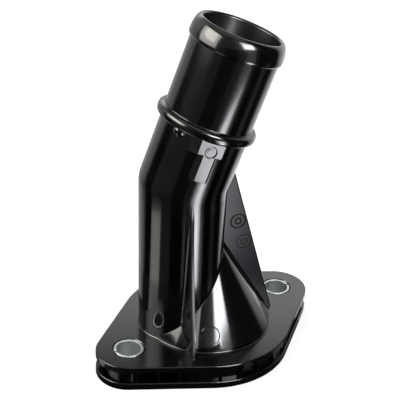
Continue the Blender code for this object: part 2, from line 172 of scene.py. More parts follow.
def loop_of(bm: bmesh.types.BMesh, points: Iterable[Vector]) -> list[bmesh.types.BMEdge]:
    """Adds a closed loop of edges through points and gives the edges."""
    verts = [bm.verts.new(point) for point in points]
    return [bm.edges.new((a, b)) for a, b in zip(verts, verts[1:] + verts[:1])]


def loft(
    name: str, rows: Sequence[Sequence[Vector]], place: Matrix = Matrix.Identity(4), closed: bool = False
) -> bpy.types.Object:
    """Skins a solid through rows of points.

    Args:
        name: Name of the object.
        rows: Closed outlines with as many points each, in the same order.
        place: Where the solid then goes.
        closed: Whether the last row joins the first, as in a ring. Both ends are closed otherwise.

    Returns:
        The new object.
    """
    bm = bmesh.new()
    loops = [[bm.verts.new(point) for point in row] for row in rows]
    for lower, upper in zip(loops, loops[1:] + loops[:1] if closed else loops[1:]):
        for index, corner in enumerate(lower):
            bm.faces.new((lower[index - 1], corner, upper[index], upper[index - 1]))
    if not closed:
        bm.faces.new(loops[0])
        bm.faces.new(loops[-1])
    bmesh.ops.transform(bm, matrix=place, verts=bm.verts)
    bmesh.ops.triangulate(bm, faces=bm.faces)
    return as_object(name, bm)


def round_rectangle(width: float, height: float, corner: float, steps: int = 5) -> list[Point]:
    """Outline of a rectangle about the origin, with round corners."""
    points = []
    for index, (i, j) in enumerate(((1, 1), (-1, 1), (-1, -1), (1, -1))):
        centre = (i * (width / 2 - corner), j * (height / 2 - corner))
        start = index * math.pi / 2
        points += arc(centre, corner, start, start + math.pi / 2, steps)
    return points


def ring_on(gap: Gap, spot: Vector, normal: Vector, radius: float, wire: float) -> bpy.types.Object:
    """A fine raised ring that follows a curved surface.

    Args:
        gap: The surface.
        spot: Middle of the ring, on the surface.
        normal: The surface's normal there.
        radius: Radius of the ring.
        wire: Radius of its round section, half of which stands proud.

    Returns:
        The ring.
    """
    side = normal.orthogonal().normalized()
    other = normal.cross(side)
    rows = []
    for step in range(96):
        turn = math.tau * step / 96
        way = side * math.cos(turn) + other * math.sin(turn)
        middle = spot + way * radius
        for _ in range(4):
            middle -= normal * gap(middle)
        section = arc((0.0, 0.0), wire, 0.0, math.tau, 8)[1:]
        rows.append([middle + way * across + normal * rise for across, rise in section])
    return loft("ring_mark", rows, closed=True)


def slab(
    name: str,
    outline: Sequence[Point],
    bottom: float,
    top: float,
    place: Matrix = Matrix.Identity(4),
    edge_round: float = 0.0,
    corners: Callable[[Vector, Vector], bool] | None = None,
) -> bpy.types.Object:
    """A flat outline in XY extruded from one height to another, with the edges of its two faces rounded.

    Args:
        name: Name of the object.
        outline: The outline's points.
        bottom: Height of the lower face.
        top: Height of the upper face.
        place: Where the slab then goes.
        edge_round: Radius of the rounding, or 0 for none.
        corners: Says for the two ends of an edge, as drawn, whether it is rounded. All are by default.

    Returns:
        The new object.
    """
    bm = bmesh.new()
    loop = loop_of(bm, [Vector((x, y, bottom)) for x, y in outline])
    face = bmesh.ops.contextual_create(bm, geom=loop)["faces"]
    grown = bmesh.ops.extrude_face_region(bm, geom=face)["geom"]
    risen = [item for item in grown if isinstance(item, bmesh.types.BMVert)]
    bmesh.ops.translate(bm, verts=risen, vec=(0.0, 0.0, top - bottom))
    bmesh.ops.recalc_face_normals(bm, faces=bm.faces)
    if edge_round:
        flat = [e for e in bm.edges if abs(e.verts[0].co.z - e.verts[1].co.z) < 1e-6]
        chosen = [e for e in flat if corners is None or corners(e.verts[0].co, e.verts[1].co)]
        rounding(bm, chosen, edge_round, 4)
    bmesh.ops.transform(bm, matrix=place, verts=bm.verts)
    return as_object(name, bm)


def rounding(bm: bmesh.types.BMesh, edges: list[bmesh.types.BMEdge], width: float, segments: int) -> None:
    """Rounds edges with a bevel of circular section."""
    bmesh.ops.bevel(
        bm,
        geom=edges,
        offset=width,
        offset_type="OFFSET",
        segments=segments,
        profile=0.5,
        affect="EDGES",
        clamp_overlap=True,
        material=-1,
    )


def turned(
    name: str,
    profile: Sequence[Point],
    steps: int,
    closed: bool = False,
    place: Matrix = Matrix.Identity(4),
) -> bpy.types.Object:
    """A solid of revolution about Z.

    Args:
        name: Name of the object.
        profile: Points of radius and height.
        steps: Number of facets round it.
        closed: Whether the last point joins the first, as in a ring.
        place: Where the solid then goes.

    Returns:
        The new object.
    """
    bm = bmesh.new()
    verts = [bm.verts.new((radius, 0.0, height)) for radius, height in profile]
    edges = [bm.edges.new(pair) for pair in zip(verts, verts[1:])]
    if closed:
        edges.append(bm.edges.new((verts[-1], verts[0])))
    bmesh.ops.spin(
        bm, geom=verts + edges, cent=ORIGIN, axis=UPWARDS, angle=math.tau, steps=steps, use_merge=True
    )
    bmesh.ops.transform(bm, matrix=place, verts=bm.verts)
    return as_object(name, bm)


def finished(obj: bpy.types.Object, sharp_angle: float = 32.0) -> bpy.types.Object:
    """Scales a mesh to metres, shades it smooth but for its sharp edges, and evens its normals by face size.

    Args:
        obj: The object, drawn in millimetres.
        sharp_angle: Edges that turn by more than this many degrees stay sharp.

    Returns:
        The same object.
    """
    obj.data.transform(Matrix.Scale(METRES, 4))
    obj.data.shade_smooth()
    obj.data.set_sharp_from_angle(angle=math.radians(sharp_angle))
    even = obj.modifiers.new("even_normals", "WEIGHTED_NORMAL")
    even.mode = "FACE_AREA_WITH_ANGLE"
    even.weight = 50
    even.keep_sharp = True
    return obj


# Surfaces that fillets roll on


def outside_plane(normal: Vector, distance: float) -> Gap:
    """Gives how far a point is outside a plane."""
    return lambda point: point.dot(normal) - distance


def outside_round(base: Vector, axis: Vector, radius: float, slope: float = 0.0) -> Gap:
    """Gives how far a point is outside a cylinder or cone.

    Args:
        base: A point on the axis, where the radius is given.
        axis: Unit vector along the axis.
        radius: Radius at the base point.
        slope: Growth of the radius along the axis.

    Returns:
        The function.
    """
    lean = math.hypot(1.0, slope)

    def gap(point: Vector) -> float:
        """Distance outside the surface."""
        along = (point - base).dot(axis)
        away = (point - base - axis * along).length
        return (away - radius - slope * along) / lean

    return gap


@dataclass(frozen=True)
class RolledFillet:
    """Concave fillet between two surfaces, as a ball rolled along their corner leaves it."""

    radius: float = 0.5
    sink: float = 0.012
    depth: float = 0.35
    chords: int = 6

    def rest(self, gaps: tuple[Gap, Gap], guess: Vector, across: tuple[Vector, Vector]) -> Vector:
        """Finds where the ball touches both surfaces.

        Args:
            gaps: The two surfaces.
            guess: A point near the ball's middle.
            across: Two vectors of the plane that the middle may move in.

        Returns:
            The ball's middle.
        """
        middle = guess.copy()
        small = 1e-4
        for _ in range(12):
            miss = [gap(middle) - self.radius + self.sink for gap in gaps]
            if max(abs(m) for m in miss) < 1e-7:
                break
            rows = [[(gap(middle + v * small) - gap(middle)) / small for v in across] for gap in gaps]
            det = rows[0][0] * rows[1][1] - rows[0][1] * rows[1][0]
            first = (miss[0] * rows[1][1] - miss[1] * rows[0][1]) / det
            second = (miss[1] * rows[0][0] - miss[0] * rows[1][0]) / det
            middle -= across[0] * first + across[1] * second
        return middle

    def section(self, gaps: tuple[Gap, Gap], middle: Vector) -> list[Vector]:
        """Points of the fillet's section: the arc between the two contacts, and one point behind it."""
        small = 1e-4
        basis = [Vector((small, 0, 0)), Vector((0, small, 0)), Vector((0, 0, small))]
        ways = [Vector([gap(middle + b) - gap(middle) for b in basis]).normalized() for gap in gaps]
        shares = [k / self.chords for k in range(self.chords + 1)]
        points = [middle - ways[0].slerp(ways[1], part) * self.radius for part in shares]
        share = (self.radius + self.depth) / (1 + ways[0].dot(ways[1]))
        return [*points, middle - (ways[0] + ways[1]) * share]

    def along(
        self,
        name: str,
        gaps: tuple[Gap, Gap],
        guesses: Sequence[Vector],
        across: Sequence[tuple[Vector, Vector]],
    ) -> bpy.types.Object:
        """Skins the fillet through its sections.

        Args:
            name: Name of the object.
            gaps: The two surfaces.
            guesses: A point near the ball's middle at each station.
            across: The plane of each station.

        Returns:
            A closed strip that sinks a little into both surfaces.
        """
        bm = bmesh.new()
        loops = []
        for guess, plane in zip(guesses, across):
            loops.append(loop_of(bm, self.section(gaps, self.rest(gaps, guess, plane))))
        for lower, upper in zip(loops, loops[1:]):
            bmesh.ops.bridge_loops(bm, edges=lower + upper)
        for end in (loops[0], loops[-1]):
            bmesh.ops.contextual_create(bm, geom=end)
        bmesh.ops.triangulate(bm, faces=bm.faces)
        return as_object(name, bm)


# The moulding


@dataclass(frozen=True)
class Flange:
    """Two thin plates on a web, with open pockets round the edge and a groove for the seal."""

    bolt_x: float = 36.5
    height: float = FLANGE_TOP
    end_radius: float = 12.2
    middle_radius: float = 32.55
    core_radius: float = 31.0
    boss_radius: float = 8.7
    top_plate: float = 2.7
    bottom_plate: float = 2.85
    edge_round: float = 0.45
    pocket_pitch: float = 7.5
    pocket_shift: float = -2.55
    pocket_rib: float = 1.05
    pocket_recess: float = 0.4
    pocket_round: float = 0.2
    hole_radius: float = 5.8
    hole_chamfer: float = 0.25
    groove: Point = (26.0, 29.3)
    groove_depth: float = 2.2

    def outline(self, inset: float = 0.0) -> list[Point]:
        """Middle arc and two end arcs, joined by their common tangents."""
        middle = self.middle_radius - inset
        end = self.end_radius - inset
        lean = math.acos((middle - end) / self.bolt_x)
        return (
            arc((self.bolt_x, 0.0), end, -lean, lean, 40)
            + arc((0.0, 0.0), middle, lean, math.pi - lean, 40)
            + arc((-self.bolt_x, 0.0), end, math.pi - lean, math.pi + lean, 40)
            + arc((0.0, 0.0), middle, math.pi + lean, math.tau - lean, 40)
        )

    def plates(self) -> tuple[bpy.types.Object, bpy.types.Object]:
        """The lower and the upper plate, with rounded rims."""
        lower = slab("lower_plate", self.outline(), 0.0, self.bottom_plate, edge_round=self.edge_round)
        seat = self.height - self.top_plate
        upper = slab("upper_plate", self.outline(), seat, self.height, edge_round=self.edge_round)
        return lower, upper

    def web(self, turn: Matrix, angle: float) -> bpy.types.Object:
        """What joins the plates: the solid middle, the bosses, and the ribs between the pockets.

        Args:
            turn: Turn of the pipe plane, along whose normal the pockets open.
            angle: The same turn in radians.

        Returns:
            The web, trimmed a little inside the plates.
        """
        bottom = self.bottom_plate - OVERLAP
        top = self.height - self.top_plate + OVERLAP
        web = slab("web", arc((0.0, 0.0), self.core_radius, 0.0, math.tau, 144)[1:], bottom, top)
        along = self.bolt_x * math.cos(angle)
        over = self.bolt_x * math.sin(-angle)
        added = []
        for side in Side:
            ring = arc((side.value * self.bolt_x, 0.0), self.boss_radius, 0.0, math.tau, 96)[1:]
            added.append(slab(f"boss_{side.name}", ring, bottom, top))
            middle = (side.value * self.core_radius / 2, side.value * over / 2)
            neck = rectangle(*middle, self.core_radius, over)
            added.append(slab(f"neck_{side.name}", neck, bottom, top, turn))
        first = math.ceil((-along - self.pocket_shift) / self.pocket_pitch)
        last = math.floor((along - self.pocket_shift) / self.pocket_pitch)
        reach = 2 * (self.bolt_x + self.end_radius)
        for index in range(first, last + 1):
            strip = rectangle(self.pocket_shift + index * self.pocket_pitch, 0.0, self.pocket_rib, reach)
            added.append(slab(f"pocket_rib_{index - first}", strip, bottom, top, turn))
        combine(web, added, Joining.ADD)
        limit = slab("web_limit", self.outline(self.pocket_recess), 0.0, self.height)
        combine(web, [limit], Joining.KEEP)
        bm = bmesh.new()
        bm.from_mesh(web.data)
        upright = [e for e in bm.edges if abs(e.verts[0].co.z - e.verts[1].co.z) > (top - bottom) / 2]
        corners = [e for e in upright if e.is_convex and e.calc_face_angle(0.0) > 0.6]
        rounding(bm, corners, self.pocket_round, 3)
        bm.to_mesh(web.data)
        bm.free()
        return web

    def cutters(self) -> list[bpy.types.Object]:
        """The groove and the two bolt holes, which open out a little at the top."""
        inner, outer = self.groove
        groove = [(inner, -PASS), (outer, -PASS), (outer, self.groove_depth), (inner, self.groove_depth)]
        tools = [turned("groove", groove, 192, closed=True)]
        wide = self.hole_radius + self.hole_chamfer
        profile = [
            (0.0, -PASS),
            (wide + PASS, -PASS),
            (self.hole_radius, self.hole_chamfer),
            (self.hole_radius, self.height - self.hole_chamfer),
            (wide, self.height),
            (wide, self.height + PASS),
            (0.0, self.height + PASS),
        ]
        for side in Side:
            place = Matrix.Translation((side.value * self.bolt_x, 0.0, 0.0))
            tools.append(turned(f"bolt_hole_{side.name}", profile, 96, place=place))
        return tools


def rectangle(x: float, y: float, width: float, length: float) -> list[Point]:
    """Corners of a rectangle about a point."""
    return [(x + i * width / 2, y + j * length / 2) for i, j in ((-1, -1), (1, -1), (1, 1), (-1, 1))]


@dataclass(frozen=True)
class Bell:
    """Cone that spreads the foot of the tube over the opening, on a short upright foot."""

    foot: float = FLANGE_TOP
    radius: float = 24.3
    hollow_radius: float = 21.5
    wall: float = 2.8
    foot_height: float = 1.5
    foot_fillet: float = 0.6
    slope: float = 1.62
    facets: int = 192

    @property
    def apex(self) -> float:
        """Height of the cone's tip."""
        return self.foot + self.foot_height + self.slope * self.radius

    def surface(self) -> Gap:
        """The cone as a surface for fillets."""
        return outside_round(Vector((0.0, 0.0, self.apex)), UPWARDS, 0.0, -1 / self.slope)

    def outside(self) -> bpy.types.Object:
        """Cone, foot and the fillet at the flange."""
        fillet = arc(
            (self.radius + self.foot_fillet, self.foot + self.foot_fillet),
            self.foot_fillet,
            math.pi,
            1.5 * math.pi,
            6,
        )
        profile = [(0.0, self.apex), (self.radius, self.foot + self.foot_height), *fillet]
        profile += [(self.radius + self.foot_fillet, self.foot - OVERLAP), (0.0, self.foot - OVERLAP)]
        return turned("bell_outside", profile, self.facets)

    def hollow(self) -> bpy.types.Object:
        """The space inside, one wall within."""
        apex = self.apex - self.wall * math.hypot(1.0, self.slope)
        shoulder = apex - self.slope * self.hollow_radius
        profile = [(0.0, apex), (self.hollow_radius, shoulder), (self.hollow_radius, -PASS), (0.0, -PASS)]
        return turned("bell_hollow", profile, self.facets)


@dataclass(frozen=True)
class Pipe:
    """Upright tube that bends once into the spout, with its collar, bead and bore."""

    turn: float = math.radians(-24)
    offset: float = 11.05
    top: float = 69.35
    bend_height: float = 59.4
    lean: float = math.radians(18.6)
    radius: float = 16.05
    foot_radius: float = 15.35
    foot_fillet: float = 0.8
    spout: float = 59.2
    bore_foot: float = 13.0
    bore_bend: float = 12.6
    bore_mouth: float = 13.9
    collar_place: float = 24.4
    collar_width: float = 4.6
    collar_height: float = 2.15
    collar_fillet: float = 0.4
    collar_squareness: float = 2.5
    bead: float = 7.5
    bead_height: float = 0.9
    bead_shoulder: float = 1.2
    lip_wall: float = 0.8
    lip_round: float = 0.9
    bend_round: float = 2.0
    facets: int = 160

    @property
    def plane(self) -> Matrix:
        """Turn from the bolt line to the pipe plane."""
        return Matrix.Rotation(self.turn, 4, "Z")

    @property
    def tube_place(self) -> Matrix:
        """Frame of the tube, from the bend."""
        return self.plane @ Matrix.Translation((-self.offset, 0.0, self.top))

    @property
    def spout_place(self) -> Matrix:
        """Frame of the spout, from the bend."""
        return self.tube_place @ Matrix.Rotation(self.lean, 4, "Y")

    def tube_surface(self) -> Gap:
        """The tube in its own frame, as a surface for fillets."""
        growth = (self.radius - self.foot_radius) / (self.bend_height - self.foot_fillet)
        return outside_round(ORIGIN, UPWARDS, self.radius, growth)

    def spout_surface(self) -> Gap:
        """The spout in the tube's frame, as a surface for fillets."""
        axis = Vector((math.sin(self.lean), 0.0, math.cos(self.lean)))
        return outside_round(ORIGIN, axis, self.radius)

    def ring(self, bm: bmesh.types.BMesh, along: float, radius: float) -> list[bmesh.types.BMEdge]:
        """Adds a ring at a distance from the bend, stretched where it halves the corner."""
        share = 0.5 if along == 0 else float(along > 0)
        stretch = 1 / math.cos(self.lean / 2) if along == 0 else 1.0
        place = (
            Matrix.Rotation(self.lean * share, 4, "Y")
            @ Matrix.Translation((0.0, 0.0, along))
            @ Matrix.Diagonal((stretch, 1.0, 1.0, 1.0))
        )
        made = bmesh.ops.create_circle(bm, segments=self.facets, radius=radius, matrix=place)
        return list(dict.fromkeys(edge for vert in made["verts"] for edge in vert.link_edges))

    def skin(self, name: str, stations: Sequence[Point]) -> bpy.types.Object:
        """Skins the pipe through rings, rounds the bend and closes both ends.

        Args:
            name: Name of the object.
            stations: Distance from the bend and radius of each ring.

        Returns:
            The new object.
        """
        bm = bmesh.new()
        rings = [self.ring(bm, along, radius) for along, radius in stations]
        bend = rings[[along for along, _ in stations].index(0.0)]
        for lower, upper in zip(rings, rings[1:]):
            bmesh.ops.bridge_loops(bm, edges=lower + upper)
        for end in (rings[0], rings[-1]):
            bmesh.ops.contextual_create(bm, geom=end)
        bmesh.ops.recalc_face_normals(bm, faces=bm.faces)
        rounding(bm, bend, self.bend_round, 5)
        bmesh.ops.transform(bm, matrix=self.tube_place, verts=bm.verts)
        return as_object(name, bm)

    def collar_stations(self) -> list[Point]:
        """Collar with a small fillet at each foot and a crown that is flatter than an ellipse."""
        foot = self.collar_place - self.collar_width / 2
        low = arc((foot, self.collar_fillet), self.collar_fillet, -math.pi / 2, 0.0, 4)
        half = self.collar_width / 2 - self.collar_fillet
        rise = self.collar_height - self.collar_fillet
        power = 2 / self.collar_squareness
        crown = []
        for k in range(1, 20):
            angle = math.pi * (1 - k / 20)
            out = math.copysign(abs(math.cos(angle)) ** power * half, math.cos(angle))
            crown.append((self.collar_place + out, self.collar_fillet + math.sin(angle) ** power * rise))
        high = [(2 * self.collar_place - along, height) for along, height in reversed(low)]
        return [(along, self.radius + height) for along, height in low + crown + high]

    def bead_stations(self) -> list[Point]:
        """Bead with a short shoulder below, easing over into the round lip."""
        foot = self.spout - self.bead
        lip = self.bore_mouth + self.lip_wall
        fullest = self.radius + self.bead_height
        rise = self.bead - self.bead_shoulder
        turns = [math.pi / 2 * k / 10 for k in range(11)]
        shoulder = [
            (foot + self.bead_shoulder * (1 - math.cos(a)), self.radius + self.bead_height * math.sin(a))
            for a in turns
        ]
        crown = [
            (foot + self.bead_shoulder + rise * math.sin(a), lip + (fullest - lip) * math.cos(a))
            for a in turns
        ]
        return shoulder + crown[1:]

    def outside(self) -> bpy.types.Object:
        """Tube, spout, collar and bead as one skin."""
        foot = -self.bend_height
        fillet = [
            (
                foot + self.foot_fillet * (1 - math.sin(a)),
                self.foot_radius + self.foot_fillet * (1 - math.cos(a)),
            )
            for a in (math.radians(90 - 15 * k) for k in range(7))
        ]
        stations = [(foot - OVERLAP, self.foot_radius + self.foot_fillet), *fillet, (0.0, self.radius)]
        return self.skin("pipe_outside", stations + self.collar_stations() + self.bead_stations())

    def bore(self) -> bpy.types.Object:
        """Passage through tube and spout, opening out at the round lip."""
        lip = [
            (
                self.spout - self.lip_round * (1 - math.sin(a)),
                self.bore_mouth + self.lip_wall * (1 - math.cos(a)),
            )
            for a in (math.pi / 2 * k / 10 for k in range(11))
        ]
        foot = self.bend_height + FLANGE_TOP + PASS
        stations = [(-foot, self.bore_foot), (0.0, self.bore_bend), *lip]
        stations.append((self.spout + PASS, self.bore_mouth + self.lip_wall + PASS))
        return self.skin("pipe_bore", stations)


@dataclass(frozen=True)
class Fin:
    """Straight fin from the flange, over the bell, to the underside of the spout."""

    turn: float = math.radians(4.5)
    thickness: float = 2.4
    edge_round: float = 0.6
    toe: float = 2.6
    toe_height: float = 0.5
    top_on_spout: float = 10.6
    fillet: RolledFillet = RolledFillet(radius=0.6)
    fillet_below: float = 1.5
    fillet_stop: float = 2.6
    fillet_past_bell: float = 0.4

    def build(self, pipe: Pipe, bell: Bell) -> list[bpy.types.Object]:
        """The fin and the fillets at its two sides.

        Args:
            pipe: The pipe that it stands on.
            bell: The bell that it stands on.

        Returns:
            Closed shapes to be joined.
        """
        toe = pipe.offset + bell.radius + self.toe
        base = -pipe.bend_height
        height = self.top_on_spout * math.cos(pipe.lean) - pipe.radius * math.sin(pipe.lean)
        distance = self.top_on_spout * math.sin(pipe.lean) + pipe.radius * math.cos(pipe.lean)
        outline = [
            (0.0, base - OVERLAP),
            (toe, base - OVERLAP),
            (toe, base + self.toe_height),
            (distance, height),
            (0.0, height),
        ]
        upright = Matrix.Rotation(self.turn, 4, "Z") @ Matrix.Rotation(math.radians(90), 4, "X")
        half = self.thickness / 2

        def outer(first: Vector, second: Vector) -> bool:
            """Whether an edge belongs to the sloping edge or the toe."""
            return min(first.x, second.x) > 1.0 and max(first.y, second.y) > base

        shapes = [
            slab(
                "spout_fin",
                outline,
                -half,
                half,
                pipe.tube_place @ upright,
                edge_round=self.edge_round,
                corners=outer,
            )
        ]
        way = Vector((math.cos(self.turn), math.sin(self.turn), 0.0))
        normal = Vector((-way.y, way.x, 0.0))
        bell_gap = in_tube_frame(bell.surface(), pipe)
        for side in (-1, 1):
            face = outside_plane(normal * side, half)
            offset = normal * side * (half + self.fillet.radius)
            low = bell.apex - bell.slope * (pipe.foot_radius - pipe.offset) - pipe.top
            gaps = (face, pipe.tube_surface())
            name = f"fin_tube_{side + 1}"
            bottom, top = low - self.fillet_below, -self.fillet_stop
            shapes.append(vertical_fillet(name, self.fillet, gaps, way, offset, bottom, top, pipe))
            nearest = pipe.radius - OVERLAP
            stretch = pipe.offset + bell.radius - pipe.radius + self.fillet_past_bell
            stations = [nearest + stretch * k / 24 for k in range(25)]
            guesses = []
            for reach in stations:
                spot = way * reach + offset
                guesses.append(spot + UPWARDS * (bell_height(bell, pipe, spot) + 1.0))
            gaps = (face, bell_gap)
            planes = [(normal, UPWARDS)] * len(guesses)
            strip = self.fillet.along(f"fin_bell_{side + 1}", gaps, guesses, planes)
            strip.data.transform(pipe.tube_place)
            shapes.append(strip)
            axis = Vector((math.sin(pipe.lean), 0.0, math.cos(pipe.lean)))
            rim = Vector((math.cos(pipe.lean), 0.0, -math.sin(pipe.lean)))
            spout_steps = [0.4 + (self.top_on_spout - 1.6) * k / 12 for k in range(13)]
            guesses = [axis * s + rim * (pipe.radius + self.fillet.radius) + offset for s in spout_steps]
            gaps = (face, pipe.spout_surface())
            planes = [(normal, rim)] * len(guesses)
            strip = self.fillet.along(f"fin_spout_{side + 1}", gaps, guesses, planes)
            strip.data.transform(pipe.tube_place)
            shapes.append(strip)
        return shapes


def in_tube_frame(gap: Gap, pipe: Pipe) -> Gap:
    """The same surface, asked in the tube's frame."""
    place = pipe.tube_place.copy()
    return lambda point: gap(place @ point)


def bell_height(bell: Bell, pipe: Pipe, spot: Vector) -> float:
    """Height of the bell's surface over a place, in the tube's frame."""
    away = math.hypot(spot.x - pipe.offset, spot.y)
    return bell.apex - bell.slope * away - pipe.top


def vertical_fillet(
    name: str,
    fillet: RolledFillet,
    gaps: tuple[Gap, Gap],
    way: Vector,
    offset: Vector,
    bottom: float,
    top: float,
    pipe: Pipe,
) -> bpy.types.Object:
    """Fillet that climbs the tube beside a fin or rib.

    Args:
        name: Name of the object.
        fillet: Its radius and section.
        gaps: The plate's face and the tube.
        way: Direction of the plate from the tube's axis.
        offset: From the plate's middle to the ball's middle.
        bottom: Lowest height.
        top: Highest height.
        pipe: The pipe, for its frame.

    Returns:
        The strip.
    """
    heights = [bottom + (top - bottom) * k / 8 for k in range(9)]
    guesses = [way * (pipe.radius + fillet.radius) + offset + UPWARDS * height for height in heights]
    side = Vector((-way.y, way.x, 0.0))
    strip = fillet.along(name, gaps, guesses, [(way, side)] * len(guesses))
    strip.data.transform(pipe.tube_place)
    return strip


@dataclass(frozen=True)
class SideRib:
    """Wedge, thin at its edge, that rises from a toe on the flange and fades into the tube."""

    turn: float
    shift: float = -0.5
    edge_thickness: float = 1.3
    lean: float = math.radians(9)
    edge_round: float = 0.3
    tip: float = 5.0
    toe: float = 4.8
    toe_height: float = 0.4
    below_bend: float = 1.4
    fade: float = 7.0
    fillet_share: float = 0.7
    smallest_fillet: float = 0.05
    fillet: RolledFillet = RolledFillet(radius=1.3, depth=0.3, chords=8)
    shaded_fillet: float = 0.35
    bell_fillet: RolledFillet = RolledFillet(radius=0.6)

    def reach(self, height: float, pipe: Pipe, bell: Bell) -> float:
        """How far the rib's edge is from the tube's axis, at a height counted from the bend."""
        toe = math.sqrt(bell.radius**2 - pipe.offset**2) + self.toe
        toe_top = self.toe_height - pipe.bend_height
        knee = -self.below_bend - self.fade
        slope = (toe - pipe.radius) / (knee - toe_top + self.fade / 2)
        if height <= knee:
            return toe - slope * max(0.0, height - toe_top)
        share = min(1.0, (height - knee) / self.fade)
        return pipe.radius + slope * self.fade / 2 * (1 - share) ** 2

    def edge_half(self, height: float) -> float:
        """Half the thickness of the rib's edge, which comes to a point at the top."""
        below = max(0.0, -self.below_bend - height)
        return self.edge_thickness / 2 * min(1.0, math.sqrt((below + 0.02) / self.tip))

    def half_at(self, along: float, height: float, pipe: Pipe, bell: Bell) -> float:
        """Half the rib's thickness at a distance from the tube's axis and a height."""
        return self.edge_half(height) + (self.reach(height, pipe, bell) - along) * math.tan(self.lean)

    def body(self, name: str, pipe: Pipe, bell: Bell) -> bpy.types.Object:
        """The wedge itself, its root sunk in the tube's wall and its edge rounded."""
        root = pipe.foot_radius - OVERLAP
        knee = -self.below_bend - self.fade
        toe_top = self.toe_height - pipe.bend_height
        straight = [toe_top + (knee - toe_top) * k / 16 for k in range(17)]
        curved = [knee + self.fade * k / 16 for k in range(1, 17)]
        rows = []
        for height in [-pipe.bend_height - OVERLAP, *straight, *curved]:
            edge = self.reach(height, pipe, bell)
            small = min(self.edge_round, self.edge_half(height) * 0.8)
            tip = arc((edge - small, self.edge_half(height) - small), small, 0.0, math.pi / 2, 5)
            half = [*tip, (root, self.half_at(root, height, pipe, bell))]
            outline = [(x, -y) for x, y in reversed(half)] + half
            rows.append([Vector((x, y, height)) for x, y in outline])
        turn = Matrix.Rotation(self.turn, 4, "Z")
        return loft(name, rows, pipe.tube_place @ Matrix.Translation((self.shift, 0.0, 0.0)) @ turn)

    def build(self, pipe: Pipe, bell: Bell) -> list[bpy.types.Object]:
        """The rib and the fillets at its two sides.

        Args:
            pipe: The pipe that it stands on.
            bell: The bell that it stands on.

        Returns:
            Closed shapes to be joined.
        """
        name = f"side_rib_{round(math.degrees(self.turn)) + 90}"
        shapes = [self.body(name, pipe, bell)]
        way = Vector((math.cos(self.turn), math.sin(self.turn), 0.0))
        normal = Vector((-way.y, way.x, 0.0))
        start = Vector((self.shift, 0.0, 0.0))
        low = bell_height(bell, pipe, way * pipe.foot_radius)
        bell_gap = in_tube_frame(bell.surface(), pipe)
        for side in (-1, 1):

            def face(point: Vector, out: Vector = normal * side) -> float:
                """How far a point is outside this side of the wedge."""
                half = self.half_at((point - start).dot(way), point.z, pipe, bell)
                return ((point - start).dot(out) - half) * math.cos(self.lean)

            def beside(along: float, height: float, ball: float, out: Vector = normal * side) -> Vector:
                """A place by this side of the wedge, a ball's radius away."""
                half = self.half_at(along, height, pipe, bell)
                return start + way * along + out * (half + ball) + UPWARDS * height

            most = self.fillet.radius if side < 0 else self.shaded_fillet
            top = -self.below_bend - 1.0
            gaps = (face, pipe.tube_surface())
            rows = []
            for height in [low - 2.0 + (top - low + 2.0) * k / 24 for k in range(25)]:
                proud = self.reach(height, pipe, bell) - pipe.radius
                ball = max(self.smallest_fillet, min(most, self.fillet_share * proud))
                rolled = replace(self.fillet, radius=ball)
                middle = rolled.rest(gaps, beside(pipe.radius + ball, height, ball), (way, normal))
                rows.append(rolled.section(gaps, middle))
            shapes.append(loft(f"{name}_tube_{side + 1}", rows))
            reach = math.sqrt(bell.radius**2 - pipe.offset**2)
            guesses = []
            for station in [pipe.radius - 0.8 + (reach - pipe.radius + 0.6) * k / 12 for k in range(13)]:
                spot = beside(station, low, self.bell_fillet.radius)
                height = bell_height(bell, pipe, spot) + 1.0
                guesses.append(beside(station, height, self.bell_fillet.radius))
            strip = self.bell_fillet.along(
                f"{name}_bell_{side + 1}", (face, bell_gap), guesses, [(normal, UPWARDS)] * len(guesses)
            )
            shapes.append(strip)
        for strip in shapes[1:]:
            strip.data.transform(pipe.tube_place)
        return shapes


